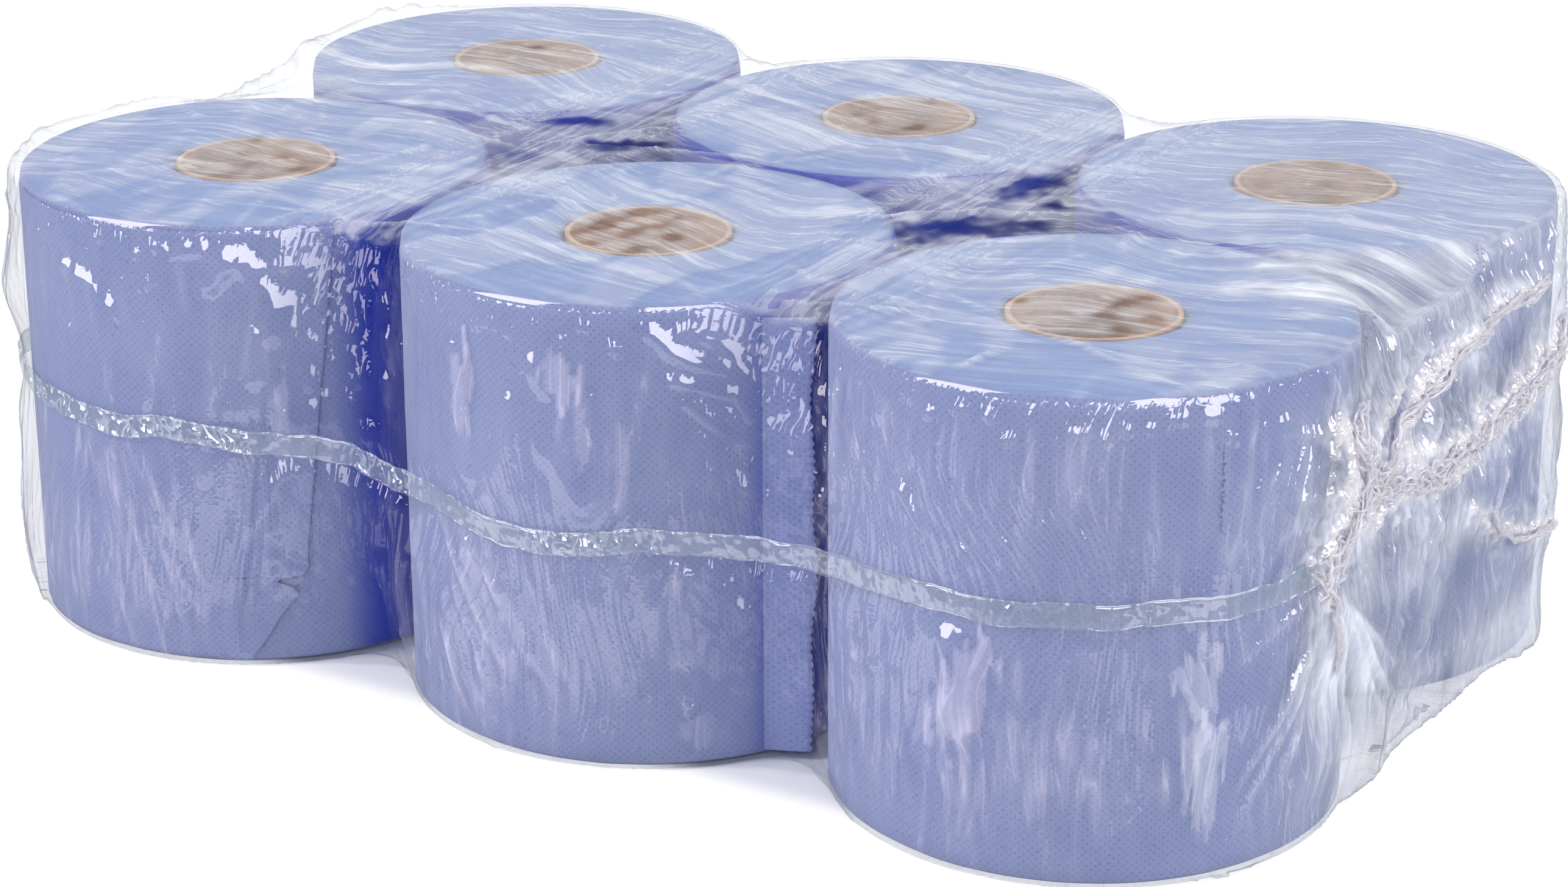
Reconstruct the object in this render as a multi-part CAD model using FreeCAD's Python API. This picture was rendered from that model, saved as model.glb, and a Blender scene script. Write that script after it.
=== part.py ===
import FreeCAD, Part
import math
import os

# A pack of six centrefeed paper towel rolls, standing in two rows of three inside clear shrink film.
# Millimetres. X runs along the pack, Y from the front row to the back row, Z up.
# The origin is the middle of the underside.

# Paper rolls
roll_diameter = 180.0
roll_height = 173.2
roll_rim_radius = 2.5
bore_diameter = 61.0
roll_gap = 0.5  # between neighbouring rolls

# Card cores
core_clearance = 0.3  # between a core and its paper, all round
core_wall = 1.8
core_recess = 1.0  # the core ends this far below the top of its roll

# Loose end of the front left roll: the outer turn swings out to a torn free edge
lap_thickness = 0.8
lap_span = 90.0  # degrees of the turn that stand out
lap_edge_top = -33.0  # degrees round the roll from +X, at the top
lap_edge_low = -39.0  # at the height where the corner is torn off
lap_tear = -47.0  # bottom of the tear
lap_edge_foot = -57.0  # at the foot of the roll
lap_tear_height = 46.0
lap_tear_drop = 12.0

# Loose end of the front middle roll: a strip that stands in the gap to its right
strip_thickness = 1.0
strip_angle = -31.4  # degrees round the roll, where it leaves the surface
strip_lean = 32.0  # degrees outward from the tangent
strip_clearance = 4.6  # from its free edge to the next roll
strip_root = 3.0  # how far it reaches into the turns
strip_top_margin = 8.0
strip_foot_margin = 3.0

# Shrink film
film_thickness = 0.4
film_clearance = 0.4  # outside the loose end
film_sag_side = 10.0  # how far the film draws in between two rolls of a row
film_sag_end = 5.0  # the same, at the two ends

# Weld seam, a flat fin that runs along the front and round both ends
seam_height = 92.0
seam_width = 9.0
seam_stand = 0.6

# Gathers, where the film bunched into thick strands at the two ends.
# Each point is its place along Y and its depth below the top of the pack.
strand_width = 6.0
strand_stand = 2.6
right_strands = [
    [(-101.0, 77.0), (-84.0, 50.0), (-85.0, 27.0)],
    [(-84.0, 50.0), (-46.0, 38.0), (17.0, 27.0), (84.0, 22.0)],
    [(-84.0, 50.0), (-28.0, 65.0), (61.0, 64.0), (108.0, 50.0)],
]
left_strands = [
    [(-92.0, 82.0), (-30.0, 70.0), (40.0, 73.0), (92.0, 82.0)],
    [(-30.0, 70.0), (-8.0, 88.0), (40.0, 73.0)],
]

roll_radius = roll_diameter / 2
bore_radius = bore_diameter / 2
pitch = roll_diameter + roll_gap
rolls_floor = film_thickness
rolls_top = rolls_floor + roll_height
pack_height = rolls_top + film_thickness
film_radius = roll_radius + lap_thickness + film_clearance

up = FreeCAD.Vector(0, 0, 1)
columns = {"left": -pitch, "middle": 0.0, "right": pitch}
rows = {"front": -pitch / 2, "back": pitch / 2}


def direction(degrees):
    angle = math.radians(degrees)
    return FreeCAD.Vector(math.cos(angle), math.sin(angle), 0)


def raised(point, height):
    return FreeCAD.Vector(point.x, point.y, height)


def rod(centre, radius, low, high):
    return Part.makeCylinder(radius, high - low, raised(centre, low), up)


def prism(corners, travel):
    outline = Part.makePolygon(corners + [corners[0]])
    return Part.Face(outline).extrude(travel)


def paper_roll(centre):
    body = rod(centre, roll_radius, rolls_floor, rolls_top)
    rims = [edge for edge in body.Edges if isinstance(edge.Curve, Part.Circle)]
    body = body.makeFillet(roll_rim_radius, rims)
    return body


def bored(body, centre):
    bore = rod(centre, bore_radius, rolls_floor - 1, rolls_top + 1)
    return body.cut(bore)


def swung_out_turn(centre):
    # the outer turn as a cylinder shifted towards its free edge, kept from where it leaves the roll
    low = rolls_floor + roll_rim_radius
    high = rolls_top - roll_rim_radius
    turn = rod(centre + direction(lap_edge_low) * lap_thickness, roll_radius, low, high)
    middle = lap_edge_low - lap_span / 2
    outward = direction(middle)
    across = direction(middle + 90)
    start = lap_edge_low - lap_span
    marks = [
        (start, low),
        (lap_edge_foot, low),
        (lap_tear, lap_tear_height - lap_tear_drop),
        (lap_edge_low, lap_tear_height),
        (lap_edge_top, high),
        (start, high),
    ]
    corners = []
    for angle, height in marks:
        sideways = roll_radius * math.sin(math.radians(angle - middle))
        corners.append(raised(centre + across * sideways, height))
    return turn.common(prism(corners, outward * (2 * roll_radius)))


def standing_strip(centre, neighbour):
    # a flat strip of paper whose free edge stops short of the next roll
    leave = centre + direction(strip_angle) * (roll_radius - strip_thickness)
    along = direction(strip_angle + 90 - strip_lean)
    side = direction(strip_angle - strip_lean)
    away = leave - neighbour
    half = away.dot(along)
    clear = roll_radius + strip_clearance
    reach = -half - math.sqrt(half * half - away.dot(away) + clear * clear)
    low = rolls_floor + strip_foot_margin
    high = rolls_top - strip_top_margin
    corners = [
        leave - along * strip_root,
        leave + along * reach,
        leave + along * reach - side * strip_thickness,
        leave - along * strip_root - side * strip_thickness,
    ]
    return prism([raised(corner, low) for corner in corners], up * (high - low))


def card_core(centre):
    outer = bore_radius - core_clearance
    top = rolls_top - core_recess
    tube = rod(centre, outer, rolls_floor, top)
    return tube.cut(rod(centre, outer - core_wall, rolls_floor - 1, top + 1))


def film_outline(grow, height):
    # round each roll, and drawn in on a tangent arc between two rolls
    radius = film_radius + grow
    half = pitch / 2
    stops = [
        (FreeCAD.Vector(columns["left"], rows["front"], 0), film_sag_side),
        (FreeCAD.Vector(columns["middle"], rows["front"], 0), film_sag_side),
        (FreeCAD.Vector(columns["right"], rows["front"], 0), film_sag_end),
        (FreeCAD.Vector(columns["right"], rows["back"], 0), film_sag_side),
        (FreeCAD.Vector(columns["middle"], rows["back"], 0), film_sag_side),
        (FreeCAD.Vector(columns["left"], rows["back"], 0), film_sag_end),
    ]
    hollows = []
    for index, (start, sag) in enumerate(stops):
        end = stops[(index + 1) % len(stops)][0]
        step = (end - start).normalize()
        outward = FreeCAD.Vector(step.y, -step.x, 0)
        reach = (half * half + sag * sag) / (2 * sag)
        middle = (start + end) * 0.5
        pivot = middle + outward * math.sqrt(reach * reach - half * half)
        leave = start + (pivot - start) * (radius / reach)
        deepest = middle + outward * (radius - sag)
        arrive = end + (pivot - end) * (radius / reach)
        hollows.append((leave, deepest, arrive))
    edges = []
    for index, (centre, sag) in enumerate(stops):
        arrive = hollows[index - 1][2]
        leave, deepest, landing = hollows[index]
        crown = centre + ((arrive - centre) + (leave - centre)).normalize() * radius
        for points in ((arrive, crown, leave), (leave, deepest, landing)):
            placed = [raised(point, height) for point in points]
            edges.append(Part.Arc(*placed).toShape())
    return Part.Face(Part.Wire(edges))


def film_block(grow, low, high, edge_radius):
    block = film_outline(grow, low).extrude(up * (high - low))
    rims = []
    for edge in block.Edges:
        box = edge.BoundBox
        if box.ZLength < 0.001:
            rims.append(edge)
    return block.makeFillet(edge_radius, rims)


def film_band(stand, low, high):
    # a belt standing on the film, rooted halfway into its thickness
    root = film_thickness / 2
    belt = film_outline(film_thickness + stand, low).extrude(up * (high - low))
    return belt.cut(film_outline(root, low).extrude(up * (high - low)))


def weld_seam():
    # the film is folded, not welded, along the back between the two end rolls
    low = seam_height - seam_width / 2
    belt = film_band(seam_stand, low, low + seam_width)
    fold = Part.makeBox(2 * pitch, 2 * pitch, seam_width)
    fold.translate(FreeCAD.Vector(-pitch, 0, low))
    return belt.cut(fold)


def gather(strands, side):
    # strips drawn on the end of the pack and raised on its outline
    travel = FreeCAD.Vector(side * (film_radius + pitch), 0, 0)
    pieces = []
    heights = []
    for strand in strands:
        stops = [FreeCAD.Vector(side * pitch, y, pack_height - depth) for y, depth in strand]
        heights.extend(stop.z for stop in stops)
        for start, end in zip(stops, stops[1:]):
            along = (end - start).normalize()
            across = FreeCAD.Vector(0, -along.z, along.y) * (strand_width / 2)
            pieces.append(prism([start - across, end - across, end + across, start + across], travel))
        for stop in stops:
            pieces.append(Part.makeCylinder(strand_width / 2, travel.Length, stop, travel))
    mask = pieces[0].fuse(pieces[1:])
    belt = film_band(strand_stand, min(heights) - strand_width, max(heights) + strand_width)
    return belt.common(mask)


def shrink_film():
    inner_edge = roll_rim_radius
    outer = film_block(film_thickness, 0, pack_height, inner_edge + film_thickness)
    inner = film_block(0, rolls_floor, rolls_top, inner_edge)
    extras = [weld_seam(), gather(right_strands, 1), gather(left_strands, -1)]
    return outer.fuse(extras).cut(inner)


def save(shape, name):
    solids = shape.Solids
    if len(solids) != 1 or not shape.isValid():
        raise RuntimeError("%s: %d solids, valid %s" % (name, len(solids), shape.isValid()))
    solids[0].exportStep("parts/%s.step" % name)
    print("%-20s %10.0f mm3" % (name, solids[0].Volume))


os.makedirs("parts", exist_ok=True)
for row, y in rows.items():
    for column, x in columns.items():
        centre = FreeCAD.Vector(x, y, 0)
        body = paper_roll(centre)
        if (row, column) == ("front", "left"):
            body = body.fuse(swung_out_turn(centre))
        if (row, column) == ("front", "middle"):
            body = body.fuse(standing_strip(centre, FreeCAD.Vector(columns["right"], y, 0)))
        save(bored(body, centre), "roll_%s_%s" % (row, column))
        save(card_core(centre), "core_%s_%s" % (row, column))
save(shrink_film(), "shrink_film")
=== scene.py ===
import math
import bpy
import bmesh
import numpy as np
from mathutils import Matrix, Vector
from mathutils.bvhtree import BVHTree


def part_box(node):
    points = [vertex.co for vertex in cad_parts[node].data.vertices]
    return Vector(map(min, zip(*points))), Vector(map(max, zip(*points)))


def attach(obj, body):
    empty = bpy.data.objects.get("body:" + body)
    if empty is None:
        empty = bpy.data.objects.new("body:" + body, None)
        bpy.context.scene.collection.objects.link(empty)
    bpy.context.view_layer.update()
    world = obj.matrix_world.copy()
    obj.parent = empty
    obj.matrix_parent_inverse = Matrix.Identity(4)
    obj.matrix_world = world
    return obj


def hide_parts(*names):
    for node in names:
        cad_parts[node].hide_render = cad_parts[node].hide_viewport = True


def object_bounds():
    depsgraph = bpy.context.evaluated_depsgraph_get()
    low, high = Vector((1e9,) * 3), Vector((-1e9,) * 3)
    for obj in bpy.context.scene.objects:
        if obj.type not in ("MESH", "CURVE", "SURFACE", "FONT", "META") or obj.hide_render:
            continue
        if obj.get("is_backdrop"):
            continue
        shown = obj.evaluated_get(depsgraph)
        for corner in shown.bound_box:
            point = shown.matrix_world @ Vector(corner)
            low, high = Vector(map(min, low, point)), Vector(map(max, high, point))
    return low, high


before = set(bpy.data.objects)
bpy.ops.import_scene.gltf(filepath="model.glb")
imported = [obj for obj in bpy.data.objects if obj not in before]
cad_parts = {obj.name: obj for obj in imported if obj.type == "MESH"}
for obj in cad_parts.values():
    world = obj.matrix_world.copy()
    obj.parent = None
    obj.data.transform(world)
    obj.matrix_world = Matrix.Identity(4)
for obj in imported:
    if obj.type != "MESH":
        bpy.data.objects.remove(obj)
cadLow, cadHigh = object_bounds()

rollNames = ["roll_" + row + "_" + column for row in ("front", "back") for column in ("left", "middle", "right")]
coreNames = [name.replace("roll", "core") for name in rollNames]


def middleOf(node):
    low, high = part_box(node)
    return (low + high) / 2


plainLow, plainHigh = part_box("roll_back_middle")
coreLow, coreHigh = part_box("core_back_middle")
rollRadius = (plainHigh.x - plainLow.x) / 2
rollFoot = plainLow.z
rollTop = plainHigh.z
coreRadius = (coreHigh.x - coreLow.x) / 2
coreTop = coreHigh.z
boreRadius = coreRadius + 0.0003
pitch = middleOf("core_back_right").x - middleOf("core_back_middle").x
rowShift = middleOf("core_back_middle").y
packTop = cadHigh.z
# how far it is round one corner, and from the middle of the front to the end, to the end's middle and to the back
corner = rollRadius * math.pi / 2
toEnd = pitch + corner
toMiddle = toEnd + rowShift
toBack = toEnd + 2 * rowShift
# across the pack, what is done to the right end alone starts at the first and is whole at the second
endFrom, endFull = 0.235, 0.262


# sums on sockets, so that a finish reads as plain formulas
class Sum:
    def __init__(self, nodes, socket):
        self.nodes = nodes
        self.socket = socket

    def maths(self, operation, first, second=None):
        values = {0: first} if second is None else {0: first, 1: second}
        return self.nodes.add("ShaderNodeMath", {"operation": operation}, values)

    def __add__(self, other):
        return self.maths("ADD", self, other)

    def __radd__(self, other):
        return self.maths("ADD", other, self)

    def __sub__(self, other):
        return self.maths("SUBTRACT", self, other)

    def __rsub__(self, other):
        return self.maths("SUBTRACT", other, self)

    def __mul__(self, other):
        return self.maths("MULTIPLY", self, other)

    def __rmul__(self, other):
        return self.maths("MULTIPLY", other, self)

    def __truediv__(self, other):
        return self.maths("DIVIDE", self, other)

    def __pow__(self, other):
        return self.maths("POWER", self, other)

    def __neg__(self):
        return self.maths("SUBTRACT", 0.0, self)

    def __abs__(self):
        return self.maths("ABSOLUTE", self)

    def __round__(self):
        return self.maths("ROUND", self)

    def root(self):
        return self.maths("SQRT", self)

    def sine(self):
        return self.maths("SINE", self)

    def atLeast(self, other):
        return self.maths("MAXIMUM", self, other)


class Nodes:
    # adds nodes to one tree; a list in sockets makes one link for each of its items
    def __init__(self, tree):
        self.tree = tree

    def add(self, kind, settings=None, sockets=None, out=0):
        node = self.tree.nodes.new(kind)
        for key, value in (settings or {}).items():
            setattr(node, key, value)
        for key, values in (sockets or {}).items():
            for value in values if isinstance(values, list) else [values]:
                if isinstance(value, Sum):
                    self.tree.links.new(value.socket, node.inputs[key])
                else:
                    node.inputs[key].default_value = value
        return Sum(self, node.outputs[out]) if node.outputs else node

    def axes(self, vector):
        node = self.add("ShaderNodeSeparateXYZ", None, {0: vector}).socket.node
        return [Sum(self, socket) for socket in node.outputs]

    def vector(self, operation, first, second):
        return self.add("ShaderNodeVectorMath", {"operation": operation}, {0: first, 1: second})

    def scaled(self, vector, share):
        return self.add("ShaderNodeVectorMath", {"operation": "SCALE"}, {0: vector, "Scale": share})

    def noise(self, vector, scale, detail=2.0, roughness=0.5, out=0):
        values = {"Vector": vector, "Scale": scale, "Detail": detail, "Roughness": roughness}
        return self.add("ShaderNodeTexNoise", {"noise_dimensions": "3D"}, values, out)

    def ramp(self, value, low, high):
        values = {"Value": value, "From Min": low, "From Max": high}
        return self.add("ShaderNodeMapRange", {"interpolation_type": "SMOOTHSTEP"}, values)

    def band(self, value, low, lowFull, highFull, high):
        # rises from low to lowFull and falls from highFull to high
        return self.ramp(value, low, lowFull) * (1 - self.ramp(value, highFull, high))

    def rays(self, kind):
        return self.add("ShaderNodeLightPath", out="Is " + kind + " Ray")

    def mixColour(self, factor, first, second):
        return self.add("ShaderNodeMix", {"data_type": "RGBA"}, {"Factor": factor, 6: first, 7: second}, out=2)

    def blend(self, factor, first, second):
        return self.add("ShaderNodeMixShader", None, {0: factor, 1: first, 2: second})


class Finish(Nodes):
    # one material's nodes
    def __init__(self, name):
        self.material = bpy.data.materials.new(name)
        self.material.use_nodes = True
        super().__init__(self.material.node_tree)
        self.tree.nodes.clear()

    def here(self):
        return self.add("ShaderNodeTexCoord", out="Object")

    def place(self, scale, turn=(0, 0, 0)):
        return self.add("ShaderNodeMapping", None, {"Vector": self.here(), "Scale": scale, "Rotation": turn})

    def bump(self, height, strength, distance):
        return self.add("ShaderNodeBump", None, {"Height": height, "Strength": strength, "Distance": distance})

    def facing(self):
        return self.add("ShaderNodeLayerWeight", None, {"Blend": 0.5}, out="Facing")

    def clear(self, colour):
        return self.add("ShaderNodeBsdfTransparent", None, {"Color": colour})

    def gloss(self, roughness, normal):
        values = {"Color": (1, 1, 1, 1), "Roughness": roughness, "Normal": normal}
        return self.add("ShaderNodeBsdfGlossy", None, values)

    def done(self, shader):
        self.add("ShaderNodeOutputMaterial", None, {"Surface": shader})
        return self.material


def smoothStep(value, low, high):
    share = np.clip((value - low) / (high - low), 0, 1)
    return share * share * (3 - 2 * share)


def newPiece(name, mesh):
    piece = bpy.data.objects.new(name, mesh)
    bpy.context.scene.collection.objects.link(piece)
    return piece


def shownFor(piece, node):
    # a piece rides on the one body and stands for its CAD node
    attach(piece, "root")
    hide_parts(node)
    return piece


def meshFrom(name, points, faces, smooth=True):
    mesh = bpy.data.meshes.new(name)
    mesh.from_pydata([tuple(p) for p in points], [], [tuple(int(i) for i in f) for f in faces])
    mesh.update()
    if smooth:
        mesh.shade_smooth()
    return mesh


# camera, floor and lamps
view = {
    "target": (0.0409, -0.0638, 0.0900),
    "azimuth": 31.64,
    "elevation": 20.21,
    "tilt": -0.165,
    "distance": 1.4328,
    "lens": 89.26,
    "sensor": 36.0,
}


def addCamera():
    az, el, tilt = (math.radians(view[key]) for key in ("azimuth", "elevation", "tilt"))
    back = Vector((math.sin(az) * math.cos(el), -math.cos(az) * math.cos(el), math.sin(el)))
    right = Vector((math.cos(az), math.sin(az), 0))
    up = back.cross(right)
    tiltedRight = right * math.cos(tilt) + up * math.sin(tilt)
    tiltedUp = up * math.cos(tilt) - right * math.sin(tilt)
    data = bpy.data.cameras.new("camera")
    data.lens = view["lens"]
    data.sensor_width = view["sensor"]
    data.clip_start = 0.01
    camera = bpy.data.objects.new("camera", data)
    turned = Matrix((tiltedRight, tiltedUp, back)).transposed()
    camera.matrix_world = Matrix.Translation(Vector(view["target"]) + back * view["distance"]) @ turned.to_4x4()
    bpy.context.scene.collection.objects.link(camera)
    bpy.context.scene.camera = camera


lampAim = Vector((0, 0, 0.1))
lamps = {
    "key": {"place": (-1.25, -1.55, 1.75), "size": (0.45, 0.45), "watts": 36, "tint": (1, 0.96, 0.95)},
    "window": {"place": (0.9, -2.3, 1.35), "size": (0.40, 0.60), "watts": 12, "tint": (1, 0.94, 0.96)},
    "top": {"place": (0.1, 0.1, 2.2), "size": (1.0, 0.6), "watts": 9, "tint": (0.98, 0.98, 1)},
    "back": {"place": (-1.1, 1.9, 1.2), "size": (0.6, 0.6), "watts": 13, "tint": (0.98, 0.98, 1)},
    "rim": {"place": (2.0, 0.3, 1.1), "size": (0.35, 0.7), "watts": 20, "tint": (1, 0.98, 0.97)},
}


def addLamps():
    for name, facts in lamps.items():
        data = bpy.data.lights.new(name, "AREA")
        data.shape = "RECTANGLE"
        data.size, data.size_y = facts["size"]
        data.energy = facts["watts"]
        data.color = facts["tint"]
        lamp = bpy.data.objects.new(name, data)
        lamp.location = facts["place"]
        lamp.rotation_euler = (lampAim - Vector(facts["place"])).to_track_quat("-Z", "Y").to_euler()
        # the film mirrors the world's two panels instead
        lamp.visible_glossy = False
        bpy.context.scene.collection.objects.link(lamp)


# what the world and the floor show, to the eye and in gloss
studio = {
    "soft": (0.95, 0.97, 1, 1),
    "white": (1, 1, 1, 1),
    "overhead": (0.30, 0.32, 0.36, 1),
    "room": (0.28, 0.30, 0.34, 1),
    "panel": (1, 0.93, 0.97, 1),
    "panels": ((-34, 17), (68, 37)),
    "floor": (0.86, 0.87, 0.88, 1),
    "floorInGloss": (0.17, 0.18, 0.20, 1),
    "glow": (1, 0.93, 0.98, 1),
    "reach": 6.0,
}


def addWorld():
    world = bpy.data.worlds.new("studio")
    bpy.context.scene.world = world
    world.use_nodes = True
    sky = Nodes(world.node_tree)
    sky.tree.nodes.clear()
    x, y, z = sky.axes(sky.add("ShaderNodeTexCoord", out="Generated"))

    def light(colour, strength):
        return sky.add("ShaderNodeBackground", None, {"Color": colour, "Strength": strength})

    # greyer overhead, so that creases in the film show
    backdrop = sky.mixColour(sky.ramp(z, 0.35, 0.72), studio["white"], studio["overhead"])
    # two tall panels, left and right of the camera, seen in gloss alone: degrees round, half as wide
    level = (1.0001 - z * z).root()
    sides = []
    for degrees, wide in studio["panels"]:
        turn = math.radians(degrees)
        along = (x * math.sin(turn) - y * math.cos(turn)) / level
        edge = math.cos(math.radians(wide))
        sides.append(sky.ramp(along, edge - 0.004, edge + 0.004))
    panels = (sides[0] + sides[1]) * sky.band(z, 0.10, 0.12, 0.76, 0.79)
    glossy = sky.rays("Glossy")
    # a dim room on the camera's side, for the gloss
    room = sky.mixColour(sky.ramp(-y, -0.25, 0.30), backdrop, studio["room"])
    around = sky.blend(glossy, light(backdrop, 1.0), light(room, 0.36))
    mirrored = sky.blend(panels * glossy, around, light(studio["panel"], 8.0))
    seen = sky.rays("Camera") + sky.rays("Transmission") + glossy
    shown = sky.blend(seen, light(studio["soft"], 0.50), mirrored)
    sky.add("ShaderNodeOutputWorld", None, {"Surface": shown})


def addFloor():
    finish = Finish("studioFloor")
    glossy = finish.rays("Glossy")
    x, y, _ = finish.axes(finish.here())
    pastX = (abs(x) - pitch).atLeast(0.0)
    pastY = (abs(y) - rowShift).atLeast(0.0)
    # white but for the pack's own shade, which the paint takes
    bare = finish.ramp((pastX * pastX + pastY * pastY).root(), rollRadius - 0.030, rollRadius - 0.012)
    seen = finish.rays("Camera") * 0.66 + glossy * 0.07
    seen = seen + finish.rays("Transmission") * 0.6 + finish.rays("Diffuse") * 0.30
    # in gloss the floor is a greyer one, so that the film stays clear over the dark gaps
    tint = finish.mixColour(glossy, studio["floor"], studio["floorInGloss"])
    paint = finish.add("ShaderNodeBsdfDiffuse", None, {"Color": tint})
    white = finish.add("ShaderNodeEmission", None, {"Color": studio["white"], "Strength": 1.20})
    plain = finish.blend(seen * bare, paint, white)
    # painted light: patches of the floor glow, again in gloss alone, a painted pool of the two panels' light that
    # the film mirrors
    front = finish.band(y, -0.370, -0.350, -0.270, -0.200) * finish.band(x, -0.24, -0.20, 0.30, 0.34)
    front = front * (1 - finish.ramp(x, 0.08, 0.11) * 0.7)
    right = finish.band(x, 0.335, 0.345, 0.45, 0.46) * finish.band(y, -0.29, -0.28, -0.13, -0.12)
    glow = finish.add("ShaderNodeEmission", None, {"Color": studio["glow"], "Strength": 1.5})
    mixed = finish.blend((front + right) * glossy, plain, glow)
    reach = studio["reach"]
    corners = [(-reach, -reach, 0), (reach, -reach, 0), (reach, reach, 0), (-reach, reach, 0)]
    floor = newPiece("studioFloor", meshFrom("studioFloor", corners, [(0, 1, 2, 3)], smooth=False))
    floor.data.materials.append(finish.done(mixed))
    floor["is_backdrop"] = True


bpy.context.scene.view_settings.view_transform = "Standard"
addCamera()
addWorld()
addLamps()
addFloor()
print("stage: camera, lamps and floor")


# paper
paper = {
    "colour": (0.268, 0.312, 0.520, 1),
    # painted light: the ends are painted a darker, cyaner blue than the sides, for how differently the top is lit
    "ends": (0.186, 0.278, 0.510, 1),
    "toneAndShade": (0.165, 0.208, 0.430, 1),
    "speck": (0.20, 0.17, 0.36, 1),
    "scuff": (0.02, 0.04, 0.12, 1),
    # painted shade for the gaps between rolls, and a faint painted glow there
    "paintedGapShade": (0.0015, 0.026, 0.340, 1),
    "paintedGapGlow": (0.0003, 0.003, 0.040, 1),
    "dotWide": 0.0030,
    "dotHigh": 0.0027,
    "ringWide": 0.0011,
}


def paperFinish(name="towelPaper", gapShadeMost=0.985):
    finish = Finish(name)
    where = finish.here()
    x, y, z = finish.axes(where)
    localX = x - round(x / pitch) * pitch
    localY = abs(y) - rowShift
    angle = finish.add("ShaderNodeMath", {"operation": "ARCTAN2"}, {0: localY, 1: localX})
    away = (localX * localX + localY * localY).root()
    around = (angle * round(2 * math.pi * rollRadius / paper["dotWide"])).sine()
    upward = (z * (2 * math.pi / paper["dotHigh"])).sine()
    onSide = finish.ramp(away, rollRadius - 0.003, rollRadius - 0.001)
    ragged = finish.noise(where, 700)
    emboss = finish.ramp(around * upward + (ragged - 0.5) * 1.1, 0.35, 0.95) * onSide
    # the wound edges show as fine rings on the ends
    rings = (away * (2 * math.pi / paper["ringWide"])).sine()
    wound = finish.ramp(rings + (finish.noise(where, 90, 3) - 0.5) * 2.5, -0.5, 1.5) * (1 - onSide)
    crepe = finish.noise(finish.place((1, 1, 0.6)), 900, 3, 0.6)
    cloud = finish.noise(where, 26, 3, 0.55)
    fleck = finish.noise(where, 480)
    # painted shade, partly: the emboss dots and the wound rings are painted a darker blue where their relief would
    # shade; the clouds are tone that differs at random
    toneAndShade = finish.ramp(cloud, 0.35, 0.7) * 0.30 + emboss * 0.45 + wound * 0.18
    # painted light: the ends of the same paper take the darker, cyaner blue
    plain = finish.mixColour(onSide, paper["ends"], paper["colour"])
    colour = finish.mixColour(toneAndShade, plain, paper["toneAndShade"])
    colour = finish.mixColour(finish.ramp(fleck, 0.62, 0.74) * 0.55, colour, paper["speck"])
    # a short dark scuff down the side of the last roll
    bearing = abs(angle - math.radians(35) + (ragged - 0.5) * 0.05)
    scuff = (1 - finish.ramp(bearing, 0.002, 0.012)) * finish.band(z, 0.122, 0.128, 0.150, 0.156)
    scuff = scuff * finish.ramp(x, pitch * 0.9, pitch) * finish.ramp(-y, 0.02, 0.03)
    colour = finish.mixColour(scuff * finish.ramp(ragged, 0.35, 0.6) * 0.75, colour, paper["scuff"])
    # painted shade: where little light reaches, in the narrow gaps between rolls, the paper is painted deep navy and
    # given a faint painted blue glow
    toRight = finish.ramp(localX, rollRadius * 0.80, rollRadius * 0.92)
    toRight = toRight * (1 - finish.ramp(x, pitch * 1.2, pitch * 1.25))
    toLeft = finish.ramp(-localX, rollRadius * 0.86, rollRadius * 0.97)
    toLeft = toLeft * finish.ramp(x, -pitch * 1.25, -pitch * 1.2)
    inside = 1 - finish.ramp(abs(x), pitch + 0.010, pitch + 0.035)
    between = finish.ramp(-localY, rollRadius * 0.45, rollRadius * 0.80) * onSide * inside
    # and in the four-cornered hollows in the middle of the pack
    offHollow = abs(x) - pitch / 2
    star = (1 - finish.ramp((y * y + offHollow * offHollow).root(), 0.050, 0.062)) * onSide
    gap = (toRight.atLeast(toLeft) * onSide).atLeast(between.atLeast(star))
    # painted shade: the gaps and hollows are painted deep navy
    colour = finish.mixColour(gap * gapShadeMost, colour, paper["paintedGapShade"])
    values = {
        "Base Color": colour,
        "Roughness": 0.92,
        "Normal": finish.bump(crepe * 0.5 - emboss * 0.6 + wound * 0.5, 0.55, 0.0004),
        # a faint painted blue glow in the same gaps
        "Emission Color": finish.mixColour(gap, (0, 0, 0, 1), paper["paintedGapGlow"]),
        "Emission Strength": 1.0,
        "Specular IOR Level": 0.15,
        "Sheen Weight": 0.1,
    }
    return finish.done(finish.add("ShaderNodeBsdfPrincipled", None, values))


card = {"dark": (0.27, 0.115, 0.045, 1), "light": (0.58, 0.34, 0.19, 1), "lighterRim": (0.56, 0.38, 0.26, 1)}


def cardFinish():
    finish = Finish("coreCard")
    where = finish.here()
    fibre = finish.noise(finish.place((1, 1, 4)), 300, 4, 0.6)
    tone = finish.ramp(fibre, 0.3, 0.75) * 0.45 + finish.ramp(finish.noise(where, 42), 0.42, 0.6) * 0.55
    colour = finish.mixColour(tone, card["dark"], card["light"])
    # the core's top edge is painted a lighter tan
    atRim = finish.ramp(finish.axes(where)[2], coreTop - 0.0010, coreTop - 0.0004)
    colour = finish.mixColour(atRim * 0.55, colour, card["lighterRim"])
    values = {"Base Color": colour, "Roughness": 0.85, "Normal": finish.bump(fibre, 0.4, 0.0003)}
    return finish.done(finish.add("ShaderNodeBsdfPrincipled", None, values))


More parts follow.
